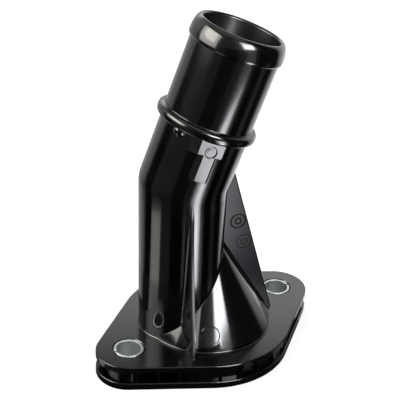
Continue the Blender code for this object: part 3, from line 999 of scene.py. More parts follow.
@dataclass(frozen=True)
class Tee:
    """Raised tee below the collar, flat on its face, with a round mark, and the small nub beside it."""

    face: float = 17.0
    shift: float = -1.35
    stem_width: float = 4.4
    stem_foot: float = 7.8
    stem_slope: float = 1.0
    head_width: float = 9.2
    head_height: float = 4.45
    head_slope: float = 0.8
    root: float = 12.4
    corner: float = 0.4
    edge_round: float = 0.2
    mark: Point = (-1.25, 19.35)
    mark_radius: float = 2.1
    mark_groove: Point = (1.3, 1.95)
    mark_depth: float = 0.25
    ring_lift: float = 0.013
    ring_wire: float = 0.15
    nub_radius: float = 2.4
    nub_sink: float = 0.7
    nub_angle: float = math.radians(50)
    nub_drop: float = 0.2

    def block(
        self, name: str, width: float, low: float, high: float, slope: float, pipe: Pipe
    ) -> bpy.types.Object:
        """A block that faces -Y and spreads sideways towards its root, with soft edges and corners."""
        rows = []
        for turn in (0.0, math.pi / 6, math.pi / 3, math.pi / 2):
            inset = self.edge_round * (1 - math.sin(turn))
            depth = self.face - self.edge_round * (1 - math.cos(turn))
            rows.append((width - 2 * inset, high - low - 2 * inset, depth))
        spread = slope * (self.face - self.edge_round - self.root)
        rows.append((width + 2 * spread, high - low + 0.3 * spread, self.root))
        middle = (high + low) / 2
        outlines = [
            [Vector((x + self.shift, -depth, z + middle)) for x, z in round_rectangle(w, h, self.corner)]
            for w, h, depth in rows
        ]
        return loft(name, outlines, pipe.spout_place)

    def mark_place(self, pipe: Pipe) -> Matrix:
        """Frame of the round mark, with Z out of the face."""
        spot = Matrix.Translation((self.mark[0], -self.face, self.mark[1]))
        return pipe.spout_place @ spot @ Matrix.Rotation(math.radians(90), 4, "X")

    def build(self, pipe: Pipe) -> list[bpy.types.Object]:
        """Head, stem, the mark's raised ring and the nub."""
        collar = pipe.collar_place - pipe.collar_width / 2
        foot = collar - self.head_height
        bm = bmesh.new()
        reach = pipe.radius - self.nub_sink
        across, forward = -reach * math.sin(self.nub_angle), -reach * math.cos(self.nub_angle)
        place = pipe.spout_place @ Matrix.Translation((across, forward, collar - self.nub_drop))
        bmesh.ops.create_uvsphere(bm, u_segments=40, v_segments=24, radius=self.nub_radius, matrix=place)
        ring = arc((self.mark_radius, self.ring_lift), self.ring_wire, 0.0, math.tau, 8)[1:]
        top = foot + 2 * OVERLAP
        return [
            self.block("tee_head", self.head_width, foot, pipe.collar_place, self.head_slope, pipe),
            self.block("tee_stem", self.stem_width, self.stem_foot, top, self.stem_slope, pipe),
            turned("tee_ring", ring, 64, closed=True, place=self.mark_place(pipe)),
            as_object("nub", bm),
        ]

    def cutter(self, pipe: Pipe) -> bpy.types.Object:
        """The groove inside the mark's ring."""
        inner, outer = self.mark_groove
        deep = -self.mark_depth
        profile = [(inner, deep), (outer, deep), (outer + 0.05, PASS), (inner - 0.1, PASS)]
        return turned("tee_groove", profile, 64, closed=True, place=self.mark_place(pipe))


@dataclass(frozen=True)
class Marks:
    """Plain round marks of the mould, on the bell and on the fin, with nothing written in them."""

    bell_heading: float = math.radians(-101.6)
    bell_height: float = 15.74
    bell_radius: float = 3.55
    bell_wire: float = 0.2
    fin_spots: tuple[Point, ...] = ((21.7, 40.7), (24.66, 31.64))
    fin_radii: Point = (1.2, 2.85)
    fin_wires: Point = (0.24, 0.12)
    ring_lift: float = 0.013

    def on_bell(self, pipe: Pipe, bell: Bell) -> bpy.types.Object:
        """Fine ring that follows the cone, beside the near rib."""
        way = pipe.plane @ Vector((math.cos(self.bell_heading), math.sin(self.bell_heading), 0.0))
        spot = way * ((bell.apex - self.bell_height) / bell.slope) + UPWARDS * self.bell_height
        normal = (way * bell.slope + UPWARDS).normalized()
        return ring_on(bell.surface(), spot, normal, self.bell_radius, self.bell_wire)

    def fin_place(self, at: Point, pipe: Pipe, fin: Fin) -> Matrix:
        """Frame of a mark on the fin's near face, with Z out of the face."""
        upright = Matrix.Rotation(fin.turn, 4, "Z") @ Matrix.Rotation(math.radians(90), 4, "X")
        spot = Matrix.Translation((at[0], at[1] - pipe.bend_height, fin.thickness / 2))
        return pipe.tube_place @ upright @ spot

    def on_fin(self, pipe: Pipe, fin: Fin) -> list[bpy.types.Object]:
        """Two fine raised rings at each place, one inside the other, the upper ones bolder."""
        rings = []
        for at, wire in zip(self.fin_spots, self.fin_wires):
            place = self.fin_place(at, pipe, fin)
            for radius in self.fin_radii:
                section = arc((radius, self.ring_lift), wire, 0.0, math.tau, 8)[1:]
                rings.append(turned(f"fin_ring_{wire}_{radius}", section, 64, closed=True, place=place))
        return rings


@dataclass(frozen=True)
class Housing:
    """The whole moulding, hollow right through, as one piece."""

    flange: Flange = Flange()
    bell: Bell = Bell()
    pipe: Pipe = Pipe()
    fin: Fin = Fin()
    near_rib: SideRib = SideRib(turn=math.radians(-90))
    far_rib: SideRib = SideRib(turn=math.radians(90))
    tee: Tee = Tee()
    marks: Marks = Marks()
    crease: RolledFillet = RolledFillet(radius=0.55)
    crease_end: float = math.radians(127)

    def crease_strip(self) -> bpy.types.Object:
        """Fillet in the crease between tube and bell."""
        gaps = (self.pipe.tube_surface(), in_tube_frame(self.bell.surface(), self.pipe))
        guesses = []
        across = []
        for k in range(121):
            angle = -self.crease_end + 2 * self.crease_end * k / 120
            way = Vector((math.cos(angle), math.sin(angle), 0.0))
            spot = way * (self.pipe.foot_radius + self.crease.radius)
            guesses.append(spot + UPWARDS * (bell_height(self.bell, self.pipe, spot) + 1.0))
            across.append((way, UPWARDS))
        strip = self.crease.along("crease_strip", gaps, guesses, across)
        strip.data.transform(self.pipe.tube_place)
        return strip

    def build(self) -> bpy.types.Object:
        """Joins every outer shape, then cuts the passage, the groove and the bolt holes."""
        body, upper = self.flange.plates()
        added = [
            upper,
            self.flange.web(self.pipe.plane, self.pipe.turn),
            self.bell.outside(),
            self.pipe.outside(),
            self.crease_strip(),
            *self.fin.build(self.pipe, self.bell),
            *self.near_rib.build(self.pipe, self.bell),
            *self.far_rib.build(self.pipe, self.bell),
            *self.tee.build(self.pipe),
            self.marks.on_bell(self.pipe, self.bell),
            *self.marks.on_fin(self.pipe, self.fin),
        ]
        combine(body, added, Joining.ADD)
        cut = [
            self.bell.hollow(),
            self.pipe.bore(),
            *self.flange.cutters(),
            self.tee.cutter(self.pipe),
        ]
        combine(body, cut, Joining.CUT)
        merge_close(body)
        body.name = body.data.name = "housing_moulding"
        self.note_places(body)
        return finished(body)

    def note_places(self, body: bpy.types.Object) -> None:
        """Notes on the mesh's faces which belong to the passage, flange top, fin or tee."""
        to_tube, to_spout = self.pipe.tube_place.inverted(), self.pipe.spout_place.inverted()
        to_fin = Matrix.Rotation(-self.fin.turn, 4, "Z") @ to_tube
        names = ("inside", "satin", "matt")
        marks = {name: body.data.attributes.new(name, "FLOAT", "FACE") for name in names}
        low, high = self.tee.stem_foot - 4.0, self.pipe.collar_place - self.pipe.collar_width / 2
        for index, face in enumerate(body.data.polygons):
            spout = to_spout @ face.center
            tube = to_tube @ face.center
            local = spout if spout.z > 0 else tube
            within = math.hypot(local.x, local.y) < self.pipe.bore_mouth + 0.1
            marks["inside"].data[index].value = float(within and tube.z > -self.pipe.bend_height)
            flat = face.normal.z > 0.99 and abs(face.center.z - self.flange.height) < 0.02
            fin = to_fin @ face.center
            on_fin = abs(abs(fin.y) - self.fin.thickness / 2) < 0.02 and fin.x > self.pipe.radius - 3.0
            proud = math.hypot(spout.x, spout.y) > self.pipe.radius + 0.12
            on_tee = proud and low < spout.z < high and spout.y < -10.0 and abs(spout.x) < 9.0
            marks["satin"].data[index].value = float(flat or on_tee)
            marks["matt"].data[index].value = float(on_fin)


@dataclass(frozen=True)
class Sleeve:
    """Steel sleeve rolled from strip, open along a narrow slit."""

    side: Side
    bolt_x: float = 36.5
    radius: float = 5.5
    wall: float = 0.9
    slit: float = 0.7
    slit_turn: float = math.radians(-16)
    chamfer: float = 0.15
    height: float = FLANGE_TOP

    def build(self) -> bpy.types.Object:
        """The sleeve, with its edges broken."""
        inner = self.radius - self.wall
        outer_edge = math.asin(self.slit / 2 / self.radius)
        inner_edge = math.asin(self.slit / 2 / inner)
        outline = arc((0.0, 0.0), self.radius, outer_edge, math.tau - outer_edge, 96)
        outline += arc((0.0, 0.0), inner, math.tau - inner_edge, inner_edge, 96)
        turn = self.slit_turn + (0.0 if self.side is Side.RIGHT else math.pi)
        across = Matrix.Translation((self.side.value * self.bolt_x, 0.0, 0.0))
        place = across @ Matrix.Rotation(turn, 4, "Z")
        name = f"bolt_sleeve_{self.side.name.lower()}"
        sleeve = slab(name, outline, 0.0, self.height, place, edge_round=self.chamfer)
        bore = sleeve.data.attributes.new("bore", "FLOAT", "POINT")
        for index, vert in enumerate(sleeve.data.vertices):
            away = math.hypot(vert.co.x - self.side.value * self.bolt_x, vert.co.y)
            bore.data[index].value = float(away < inner + 0.05)
        return finished(sleeve)


@dataclass(frozen=True)
class Seal:
    """Flat rubber ring with round corners in the groove of the underside."""

    inner: float = 26.3
    outer: float = 29.0
    bottom: float = 0.3
    top: float = 1.9

    def build(self) -> bpy.types.Object:
        """The ring."""
        radius = (self.top - self.bottom) / 2
        middle = (self.top + self.bottom) / 2
        profile = arc((self.outer - radius, middle), radius, math.pi / 2, -math.pi / 2, 12)
        profile += arc((self.inner + radius, middle), radius, -math.pi / 2, -1.5 * math.pi, 12)
        return finished(turned("flange_seal_ring", profile, 192, closed=True))


# Finishes


def new_group(name: str, inputs: dict[str, float], output: str) -> bpy.types.NodeTree:
    """Starts a shader group with number inputs and one number output.

    Args:
        name: Name of the group.
        inputs: Name and default of each input.
        output: Name of the output.

    Returns:
        The group, with its input and output nodes.
    """
    group = bpy.data.node_groups.new(name, "ShaderNodeTree")
    for label, value in inputs.items():
        socket = group.interface.new_socket(name=label, in_out="INPUT", socket_type="NodeSocketFloat")
        socket.default_value = value
    group.interface.new_socket(name=output, in_out="OUTPUT", socket_type="NodeSocketFloat")
    group.nodes.new("NodeGroupInput")
    group.nodes.new("NodeGroupOutput")
    return group


def add(tree: bpy.types.NodeTree, kind: str, **settings: object) -> bpy.types.Node:
    """Adds a node and sets its own settings, and its inputs where a name is one of theirs."""
    node = tree.nodes.new(kind)
    for label, value in settings.items():
        socket = node.inputs.get(label.replace("_", " ").title())
        if socket is not None:
            socket.default_value = value
        else:
            setattr(node, label, value)
    return node


def moulded_grain() -> bpy.types.NodeTree:
    """Height of a fine moulded skin: a slow waviness and a fine grain on Object coordinates."""
    values = {"Wave Scale": 120.0, "Grain Scale": 2600.0, "Grain Share": 0.3}
    group = new_group("moulded_grain", values, "Height")
    source, sink = group.nodes["Group Input"], group.nodes["Group Output"]
    coords = add(group, "ShaderNodeTexCoord")
    wave = add(group, "ShaderNodeTexNoise", detail=2.0)
    grain = add(group, "ShaderNodeTexNoise", detail=1.0)
    mix = add(group, "ShaderNodeMix")
    for node, label in ((wave, "Wave Scale"), (grain, "Grain Scale")):
        group.links.new(coords.outputs["Object"], node.inputs["Vector"])
        group.links.new(source.outputs[label], node.inputs["Scale"])
    group.links.new(source.outputs["Grain Share"], mix.inputs["Factor"])
    group.links.new(wave.outputs["Fac"], mix.inputs["A"])
    group.links.new(grain.outputs["Fac"], mix.inputs["B"])
    group.links.new(mix.outputs["Result"], sink.inputs["Height"])
    return group


def dust_specks() -> bpy.types.NodeTree:
    """Mask of sparse specks with soft blotches round them, on Object coordinates."""
    group = new_group("dust_specks", {"Speck Scale": 900.0, "Cover": 0.06, "Blotch Scale": 60.0}, "Mask")
    source, sink = group.nodes["Group Input"], group.nodes["Group Output"]
    coords = add(group, "ShaderNodeTexCoord")
    cells = add(group, "ShaderNodeTexVoronoi")
    blotch = add(group, "ShaderNodeTexNoise", detail=3.0)
    limit = add(group, "ShaderNodeMath", operation="MULTIPLY")
    under = add(group, "ShaderNodeMath", operation="LESS_THAN")
    for node, label in ((cells, "Speck Scale"), (blotch, "Blotch Scale")):
        group.links.new(coords.outputs["Object"], node.inputs["Vector"])
        group.links.new(source.outputs[label], node.inputs["Scale"])
    group.links.new(blotch.outputs["Fac"], limit.inputs[0])
    group.links.new(source.outputs["Cover"], limit.inputs[1])
    group.links.new(cells.outputs["Distance"], under.inputs[0])
    group.links.new(limit.outputs["Value"], under.inputs[1])
    group.links.new(under.outputs["Value"], sink.inputs["Mask"])
    return group


@dataclass(frozen=True)
class Patch:
    """Part of a piece, marked by an attribute of its mesh, that looks a little different."""

    attribute: str
    colour: Colour
    roughness: float


@dataclass(frozen=True)
class Finish:
    """What every finish has: a name, a colour pair, a roughness range, a grain and its patches."""

    name: str
    slot: str
    colour: Colour
    dust: Colour
    roughness: Point
    metallic: float
    bump: float
    bump_distance: float
    wave_scale: float
    grain_scale: float
    grain_share: float
    speck_cover: float
    patches: tuple[Patch, ...] = ()

    def material(self, groups: dict[str, bpy.types.NodeTree]) -> bpy.types.Material:
        """Builds the material.

        Args:
            groups: The shared effects by name.

        Returns:
            The material.
        """
        made = bpy.data.materials.new(self.name)
        made.use_nodes = True
        tree = made.node_tree
        shader = tree.nodes["Principled BSDF"]
        shader.inputs["Metallic"].default_value = self.metallic
        shader.inputs["IOR"].default_value = 1.5
        coords = add(tree, "ShaderNodeTexCoord")
        grain = add(tree, "ShaderNodeGroup", node_tree=groups["grain"])
        grain.inputs["Wave Scale"].default_value = self.wave_scale
        grain.inputs["Grain Scale"].default_value = self.grain_scale
        grain.inputs["Grain Share"].default_value = self.grain_share
        specks = add(tree, "ShaderNodeGroup", node_tree=groups["dust"])
        specks.inputs["Cover"].default_value = self.speck_cover
        cloud = add(tree, "ShaderNodeTexNoise", scale=45.0, detail=4.0)
        rough = add(tree, "ShaderNodeMapRange")
        rough.inputs["From Min"].default_value = 0.35
        rough.inputs["From Max"].default_value = 0.7
        rough.inputs["To Min"].default_value = self.roughness[0]
        rough.inputs["To Max"].default_value = self.roughness[1]
        tint = add(tree, "ShaderNodeMix", data_type="RGBA")
        tint.inputs["A"].default_value = (*self.colour, 1.0)
        tint.inputs["B"].default_value = (*self.dust, 1.0)
        bump = add(tree, "ShaderNodeBump")
        bump.inputs["Strength"].default_value = self.bump
        bump.inputs["Distance"].default_value = self.bump_distance
        tree.links.new(coords.outputs["Object"], cloud.inputs["Vector"])
        tree.links.new(cloud.outputs["Fac"], rough.inputs["Value"])
        tree.links.new(specks.outputs["Mask"], tint.inputs["Factor"])
        colour, roughness = tint.outputs["Result"], rough.outputs["Result"]
        for patch in self.patches:
            where = add(tree, "ShaderNodeAttribute", attribute_name=patch.attribute)
            other = add(tree, "ShaderNodeMix", data_type="RGBA")
            other.inputs["B"].default_value = (*patch.colour, 1.0)
            duller = add(tree, "ShaderNodeMix")
            duller.inputs["B"].default_value = patch.roughness
            tree.links.new(where.outputs["Fac"], other.inputs["Factor"])
            tree.links.new(where.outputs["Fac"], duller.inputs["Factor"])
            tree.links.new(colour, other.inputs["A"])
            tree.links.new(roughness, duller.inputs["A"])
            colour, roughness = other.outputs["Result"], duller.outputs["Result"]
        tree.links.new(colour, shader.inputs["Base Color"])
        tree.links.new(roughness, shader.inputs["Roughness"])
        tree.links.new(grain.outputs["Height"], bump.inputs["Height"])
        tree.links.new(bump.outputs["Normal"], shader.inputs["Normal"])
        return made


NYLON = Finish(
    name="black_nylon",
    slot="nylon",
    colour=(0.0004, 0.0007, 0.0013),
    dust=(0.16, 0.16, 0.17),
    roughness=(0.1, 0.17),
    metallic=0.0,
    bump=0.12,
    bump_distance=0.00006,
    wave_scale=160.0,
    grain_scale=3200.0,
    grain_share=0.25,
    speck_cover=0.09,
    patches=(
        Patch("inside", (0.004, 0.004, 0.006), 0.3),
        Patch("satin", (0.002, 0.002, 0.0024), 0.17),
        Patch("matt", (0.012, 0.013, 0.016), 0.32),
    ),
)
STEEL = Finish(
    name="zinc_plated_steel",
    slot="steel",
    colour=(0.5, 0.53, 0.52),
    dust=(0.72, 0.72, 0.7),
    roughness=(0.3, 0.42),
    metallic=1.0,
    bump=0.25,
    bump_distance=0.00003,
    wave_scale=400.0,
    grain_scale=5200.0,
    grain_share=0.5,
    speck_cover=0.05,
    patches=(Patch("bore", (0.34, 0.37, 0.36), 0.45),),
)
RUBBER = Finish(
    name="seal_rubber",
    slot="seal_rubber",
    colour=(0.012, 0.012, 0.013),
    dust=(0.08, 0.08, 0.08),
    roughness=(0.55, 0.7),
    metallic=0.0,
    bump=0.3,
    bump_distance=0.00005,
    wave_scale=300.0,
    grain_scale=2800.0,
    grain_share=0.6,
    speck_cover=0.08,
)


# Studio


@dataclass(frozen=True)
class View:
    """Where the photograph was taken from, and its lens."""

    azimuth: float = -0.7044
    elevation: float = 0.5015
    distance: float = 0.3794
    roll: float = 0.05
    look: tuple[float, float, float] = (0.0, 0.0, 0.0537)
    lens: float = 92.86
    shift: Point = (-0.0276, 0.0424)

    @property
    def back(self) -> Vector:
        """Unit vector from the object to the camera."""
        level = math.cos(self.elevation)
        across, forward = math.sin(self.azimuth), -math.cos(self.azimuth)
        return Vector((across * level, forward * level, math.sin(self.elevation)))

    def heading(self, turn: float) -> float:
        """World angle of a direction that is turned to the camera's right by so many degrees."""
        return math.atan2(self.back.y, self.back.x) + math.radians(turn)

    def build(self) -> bpy.types.Object:
        """Adds the camera and makes it the scene's."""
        right = Vector((math.cos(self.azimuth), math.sin(self.azimuth), 0.0))
        up = self.back.cross(right)
        level = right * math.cos(self.roll) + up * math.sin(self.roll)
        upright = up * math.cos(self.roll) - right * math.sin(self.roll)
        data = bpy.data.cameras.new("camera")
        data.lens = self.lens
        data.sensor_width = 36.0
        data.shift_x, data.shift_y = self.shift
        data.clip_start = 0.01
        data.clip_end = 20.0
        camera = bpy.data.objects.new("camera", data)
        place = Matrix((level, upright, self.back)).transposed().to_4x4()
        place.translation = Vector(self.look) + self.back * self.distance
        camera.matrix_world = place
        bpy.context.scene.collection.objects.link(camera)
        bpy.context.scene.camera = camera
        return camera


@dataclass(frozen=True)
class Band:
    """Share of the surroundings, by direction, that the gloss of the moulding mirrors.

    Angles count from the camera's side, in degrees, to the camera's right. Each tier has a strength,
    where 1 is white: the near and far floor, the low and high wall, the inner floor close to the
    object, and the wall's top. A high wall of 0 leaves the white world, and a top of 0 carries the
    high wall on.
    """

    start: float
    end: float
    near: float
    far: float
    low: float
    high: float = 0.0
    inner: float = 0.04
    top: float = 0.0
    tint: Colour = COOL


@dataclass(frozen=True)
class Box:
    """A soft box that faces the object: direction and rise in degrees, size in metres."""

    name: str
    turn: float
    rise: float
    size: Point
    mirrored: float
    light: float
    tint: Colour
    distance: float = 0.6
    aim: float = 0.06


@dataclass(frozen=True)
class Studio:
    """Floor, surroundings, cards, soft boxes and camera."""

    view: View = View()
    middle: Point = (-0.0101, 0.0045)
    painted_shadow_reach: float = 0.045
    inner_reach: float = 0.068
    near_reach: float = 0.13
    far_reach: float = 0.27
    card_reach: float = 0.8
    low_wall: float = 0.27
    crest: float = 0.6
    high_wall: float = 1.5
    card_height: float = -0.002
    # Painted shadow: level of the dark disc under the object that only reflections see, for the shaded floor
    # beneath it.
    painted_shadow: float = 0.04
    bands: tuple[Band, ...] = (
        Band(-180.0, -150.0, 0.75, 0.65, 0.75, 2.0, 0.5, 0.05),
        Band(-150.0, -122.0, 0.65, 0.65, 0.75, inner=0.5),
        Band(-122.0, -110.0, 0.5, 0.4, 0.8, inner=0.4),
        Band(-110.0, -103.0, 0.2, 0.2, 0.2, 0.3),
        Band(-103.0, -79.5, 0.01, 0.02, 0.02, 0.05),
        Band(-79.5, -72.0, 1.9, 0.15, 0.2, 0.4, 1.2, tint=WARM),
        Band(-72.0, -52.0, 2.4, 0.15, 0.2, 0.4, 1.2, tint=WARM),
        Band(-52.0, -26.0, 0.16, 0.12, 0.2, 0.3, 0.1),
        Band(-26.0, 0.0, 0.0, 0.03, 0.05, 0.3),
        Band(0.0, 5.5, 0.0, 0.05, 0.05, 0.5),
        Band(5.5, 8.0, 1.2, 0.3, 0.1, 0.5),
        Band(8.0, 22.0, 0.12, 0.15, 0.2, 0.7),
        Band(22.0, 28.0, 2.0, 4.0, 0.5, 1.0),
        Band(28.0, 31.0, 6.0, 9.0, 1.0, 1.0),
        Band(31.0, 33.5, 14.0, 14.0, 1.0, 1.0),
        Band(33.5, 41.0, 19.0, 15.0, 1.0, 1.0),
        Band(41.0, 45.0, 12.0, 9.0, 1.0, 1.0),
        Band(45.0, 48.0, 3.0, 2.0, 0.5, 0.5),
        Band(48.0, 55.0, 0.8, 0.3, 0.1, 0.1, 0.3),
        Band(55.0, 76.0, 0.0, 0.03, 0.05, 0.05),
        Band(76.0, 90.0, 0.12, 0.25, 0.06, 0.05, 0.3),
        Band(90.0, 112.0, 0.01, 0.03, 0.05, 0.1),
        Band(112.0, 117.0, 0.3, 0.3, 0.6, inner=0.6),
        Band(117.0, 128.0, 1.2, 0.9, 1.2, inner=0.7),
        Band(128.0, 150.0, 1.8, 1.3, 1.5, inner=0.7),
        Band(150.0, 180.0, 1.0, 1.3, 1.0, 2.2, 0.5, 0.05),
    )
    boxes: tuple[Box, ...] = (
        Box("key_box", 33.0, 31.0, (0.3, 0.26), 14.0, 5.0, COOL),
        Box("key_core", 33.0, 27.5, (0.23, 0.17), 30.0, 0.0, COOL, distance=0.59),
        Box("warm_box", -73.0, 31.0, (0.56, 0.4), 7.5, 3.0, WARM),
        Box("warm_core", -71.0, 35.0, (0.34, 0.3), 15.0, 0.0, WARM, distance=0.59),
    )
    # Painted shade: level of the grey discs under the bolt holes that only reflections see, for the shaded
    # paper there.
    shaded_paper_level: float = 0.55
    paper_radius: float = 0.0054
    # Painted glint: strength of the glowing card inside the mouth, which only reflections see.
    painted_glint_strength: float = 13.0
    mouth_card_arc: Point = (-72.0, -60.0)
    mouth_card_gap: float = 0.8
    mouth_card_depths: Point = (3.0, 24.0)
    floor_reach: float = 3.0
    floor_white: Point = (0.8, 0.84)
    floor_lift: float = 0.55
    fill: float = 0.55
    sky: Colour = (0.98, 0.99, 1.0)

    def card(
        self,
        name: str,
        profile: Sequence[Point],
        start: float,
        end: float,
        strength: float,
        tint: Colour = COOL,
    ) -> bpy.types.Object:
        """A card swept round the object through an angle.

        Args:
            name: Name of the object.
            profile: Distance and height of its section, in metres.
            start: First direction, in degrees to the camera's right.
            end: Last direction.
            strength: How bright reflections see it.
            tint: Its colour.

        Returns:
            The card, seen by reflections only.
        """
        bm = bmesh.new()
        first = self.view.heading(start)
        verts = [bm.verts.new((r * math.cos(first), r * math.sin(first), z)) for r, z in profile]
        edges = [bm.edges.new(pair) for pair in zip(verts, verts[1:])]
        sweep = math.radians(end - start)
        steps = max(1, round((end - start) / 4))
        bmesh.ops.spin(bm, geom=verts + edges, cent=ORIGIN, axis=UPWARDS, angle=sweep, steps=steps)
        bmesh.ops.translate(bm, verts=bm.verts, vec=(*self.middle, 0.0))
        card = as_object(name, bm)
        card.data.materials.append(glow(name, strength, tint))
        return self.staged(card, Sight.MIRROR)

    def staged(self, obj: bpy.types.Object, sight: Sight) -> bpy.types.Object:
        """Says which rays see a thing of the studio."""
        obj.visible_glossy = sight is Sight.MIRROR
        obj.visible_diffuse = sight is not Sight.MIRROR
        if sight is not Sight.FLOOR:
            obj.visible_camera = False
            obj.visible_shadow = False
            obj.visible_transmission = False
            obj.visible_volume_scatter = False
        return obj

    def soft_box(self, box: Box, sight: Sight) -> bpy.types.Object:
        """Builds a soft box, either the one that reflections see or the one that lights the object."""
        heading = self.view.heading(box.turn)
        lift = math.radians(box.rise)
        level = math.cos(lift)
        way = Vector((math.cos(heading) * level, math.sin(heading) * level, math.sin(lift)))
        bm = bmesh.new()
        bmesh.ops.create_grid(bm, x_segments=1, y_segments=1, size=0.5)
        bmesh.ops.scale(bm, vec=(*box.size, 1.0), verts=bm.verts)
        spot = Matrix.Translation(way * box.distance + UPWARDS * box.aim)
        facing = way.to_track_quat("Z", "Y").to_matrix().to_4x4()
        bmesh.ops.transform(bm, matrix=spot @ facing, verts=bm.verts)
        name = f"{box.name}_{sight.name.lower()}"
        obj = as_object(name, bm)
        strength = box.mirrored if sight is Sight.MIRROR else box.light
        obj.data.materials.append(glow(name, strength, box.tint))
        return self.staged(obj, sight)

    def floor(self) -> bpy.types.Object:
        """White floor that keeps a soft shadow under the object."""
        bm = bmesh.new()
        bmesh.ops.create_circle(bm, cap_ends=True, segments=64, radius=self.floor_reach)
        floor = as_object("floor", bm)
        made = bpy.data.materials.new("white_floor")
        made.use_nodes = True
        tree = made.node_tree
        shader = tree.nodes["Principled BSDF"]
        shader.inputs["Roughness"].default_value = 0.9
        shader.inputs["Specular IOR Level"].default_value = 0.0
        coords = add(tree, "ShaderNodeTexCoord")
        paper = add(tree, "ShaderNodeTexNoise", scale=300.0, detail=3.0)
        shade = add(tree, "ShaderNodeMapRange")
        shade.inputs["To Min"].default_value = self.floor_white[0]
        shade.inputs["To Max"].default_value = self.floor_white[1]
        tree.links.new(coords.outputs["Object"], paper.inputs["Vector"])
        tree.links.new(paper.outputs["Fac"], shade.inputs["Value"])
        tree.links.new(shade.outputs["Result"], shader.inputs["Base Color"])
        rays = add(tree, "ShaderNodeLightPath")
        lift = add(tree, "ShaderNodeMath", operation="MULTIPLY")
        lift.inputs[1].default_value = self.floor_lift
        tree.links.new(rays.outputs["Is Camera Ray"], lift.inputs[0])
        tree.links.new(lift.outputs["Value"], shader.inputs["Emission Strength"])
        shader.inputs["Emission Color"].default_value = (1.0, 1.0, 1.0, 1.0)
        floor.data.materials.append(made)
        return self.staged(floor, Sight.FLOOR)

    def surroundings(self) -> None:
        """White world to the camera and to reflections, and a plain fill light to the rest."""
        world = bpy.data.worlds.new("studio_world")
        bpy.context.scene.world = world
        world.use_nodes = True
        tree = world.node_tree
        plain = tree.nodes["Background"]
        plain.inputs["Color"].default_value = (*self.sky, 1.0)
        rays = add(tree, "ShaderNodeLightPath")
        seen = add(tree, "ShaderNodeMath", operation="MAXIMUM")
        level = add(tree, "ShaderNodeMapRange")
        level.inputs["To Min"].default_value = self.fill
        level.inputs["To Max"].default_value = 1.0
        tree.links.new(rays.outputs["Is Camera Ray"], seen.inputs[0])
        tree.links.new(rays.outputs["Is Glossy Ray"], seen.inputs[1])
        tree.links.new(seen.outputs["Value"], level.inputs["Value"])
        tree.links.new(level.outputs["Result"], plain.inputs["Strength"])

    def build(self) -> None:
        """Sets the whole studio."""
        self.view.build()
        self.floor()
        self.surroundings()
        level, reach = self.card_height, self.card_reach
        # Painted shadow: a dark disc under the object, seen only by reflections, stands in for the shaded
        # floor beneath it.
        self.card("painted_shadow_card", [(0.0, level), (self.painted_shadow_reach, level)], -180.0, 180.0, self.painted_shadow)
        for index, band in enumerate(self.bands):
            crest = self.crest if band.top else self.high_wall
            tiers = {
                "inner": ([(self.painted_shadow_reach, level), (self.inner_reach, level)], band.inner),
                "near": ([(self.inner_reach, level), (self.near_reach, level)], band.near),
                "far": ([(self.near_reach, level), (self.far_reach, level)], band.far),
                "low": ([(self.far_reach, level), (reach, level), (reach, self.low_wall)], band.low),
                "high": ([(reach, self.low_wall), (reach, crest)], band.high),
                "top": ([(reach, crest), (reach, self.high_wall)], band.top),
            }
            for name, (profile, strength) in tiers.items():
                if strength or name not in ("high", "top"):
                    self.card(f"{name}_card_{index}", profile, band.start, band.end, strength, band.tint)
        for box in self.boxes:
            self.soft_box(box, Sight.MIRROR)
            if box.light:
                self.soft_box(box, Sight.LIGHT)
        # Painted shade: a grey disc under each bolt hole, seen only by reflections, stands in for the paper
        # in the flange's shadow.
        for side in Side:
            bm = bmesh.new()
            spot = Matrix.Translation((side.value * Sleeve.bolt_x * METRES, 0.0, level / 2))
            bmesh.ops.create_circle(
                bm, cap_ends=True, segments=32, radius=self.paper_radius, matrix=spot
            )
            paper = as_object(f"paper_under_{side.name.lower()}", bm)
            paper.data.materials.append(glow(paper.name, self.shaded_paper_level))
            self.staged(paper, Sight.MIRROR)
        self.painted_glint_card(Pipe())

    def painted_glint_card(self, pipe: Pipe) -> bpy.types.Object:
        """Narrow upright card inside the mouth, seen only by reflections, that paints a glint: the soft band
        on the far side of its wall.
        """
        start, end = map(math.radians, self.mouth_card_arc)
        section = arc((0.0, 0.0), pipe.bore_mouth - self.mouth_card_gap, start, end, 4)
        bm = bmesh.new()
        rows = []
        for depth in self.mouth_card_depths:
            rows.append([bm.verts.new((x, y, pipe.spout - depth)) for x, y in section])
        for index in range(1, len(section)):
            bm.faces.new((rows[0][index - 1], rows[0][index], rows[1][index], rows[1][index - 1]))
        bmesh.ops.transform(bm, matrix=Matrix.Scale(METRES, 4) @ pipe.spout_place, verts=bm.verts)
        card = as_object("painted_glint_card", bm)
        card.data.materials.append(glow("painted_glint_card", self.painted_glint_strength))
        return self.staged(card, Sight.MIRROR)


def glow(name: str, strength: float, tint: Colour = (1.0, 1.0, 1.0)) -> bpy.types.Material:
    """Material of a card or soft box: light of one colour and strength."""
    made = bpy.data.materials.new(name)
    made.use_nodes = True
    tree = made.node_tree
    tree.nodes.remove(tree.nodes["Principled BSDF"])
    light = add(tree, "ShaderNodeEmission")
    light.inputs["Color"].default_value = (*tint, 1.0)
    light.inputs["Strength"].default_value = strength
    tree.links.new(light.outputs["Emission"], tree.nodes["Material Output"].inputs["Surface"])
    return made


def fit(piece: bpy.types.Object, finish: Finish, material: bpy.types.Material, node: str) -> None:
    """Dresses a piece and puts it in the place of its CAD node.

    Args:
        piece: The piece.
        finish: Its finish.
        material: The finish's material.
        node: The CAD node that it stands for.
    """
    piece.data.materials.clear()
    piece.data.materials.append(material)
    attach(piece, "root")
    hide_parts(node)
    LOG.info("%s: %d faces, %s", piece.name, len(piece.data.polygons), finish.name)


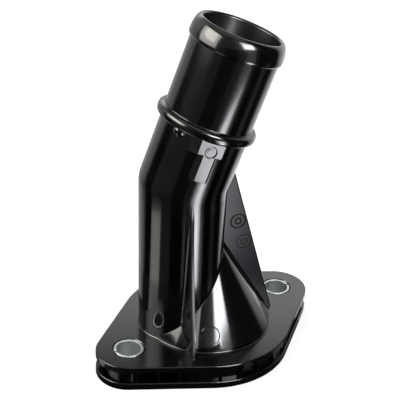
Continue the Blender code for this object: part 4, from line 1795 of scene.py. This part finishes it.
def main() -> None:
    """Builds the pieces in order, dresses them and sets the studio round them."""
    logging.basicConfig(level=logging.INFO, format="%(name)s: %(message)s")
    groups = {"grain": moulded_grain(), "dust": dust_specks()}
    made = {finish.name: finish.material(groups) for finish in (NYLON, STEEL, RUBBER)}
    fit(Housing().build(), NYLON, made[NYLON.name], "housing")
    for side in Side:
        fit(Sleeve(side).build(), STEEL, made[STEEL.name], f"sleeve_{side.name.lower()}")
    fit(Seal().build(), RUBBER, made[RUBBER.name], "flange_seal")
    Studio().build()
    bpy.context.scene.view_settings.view_transform = "Standard"


if __name__ == "__main__":
    main()
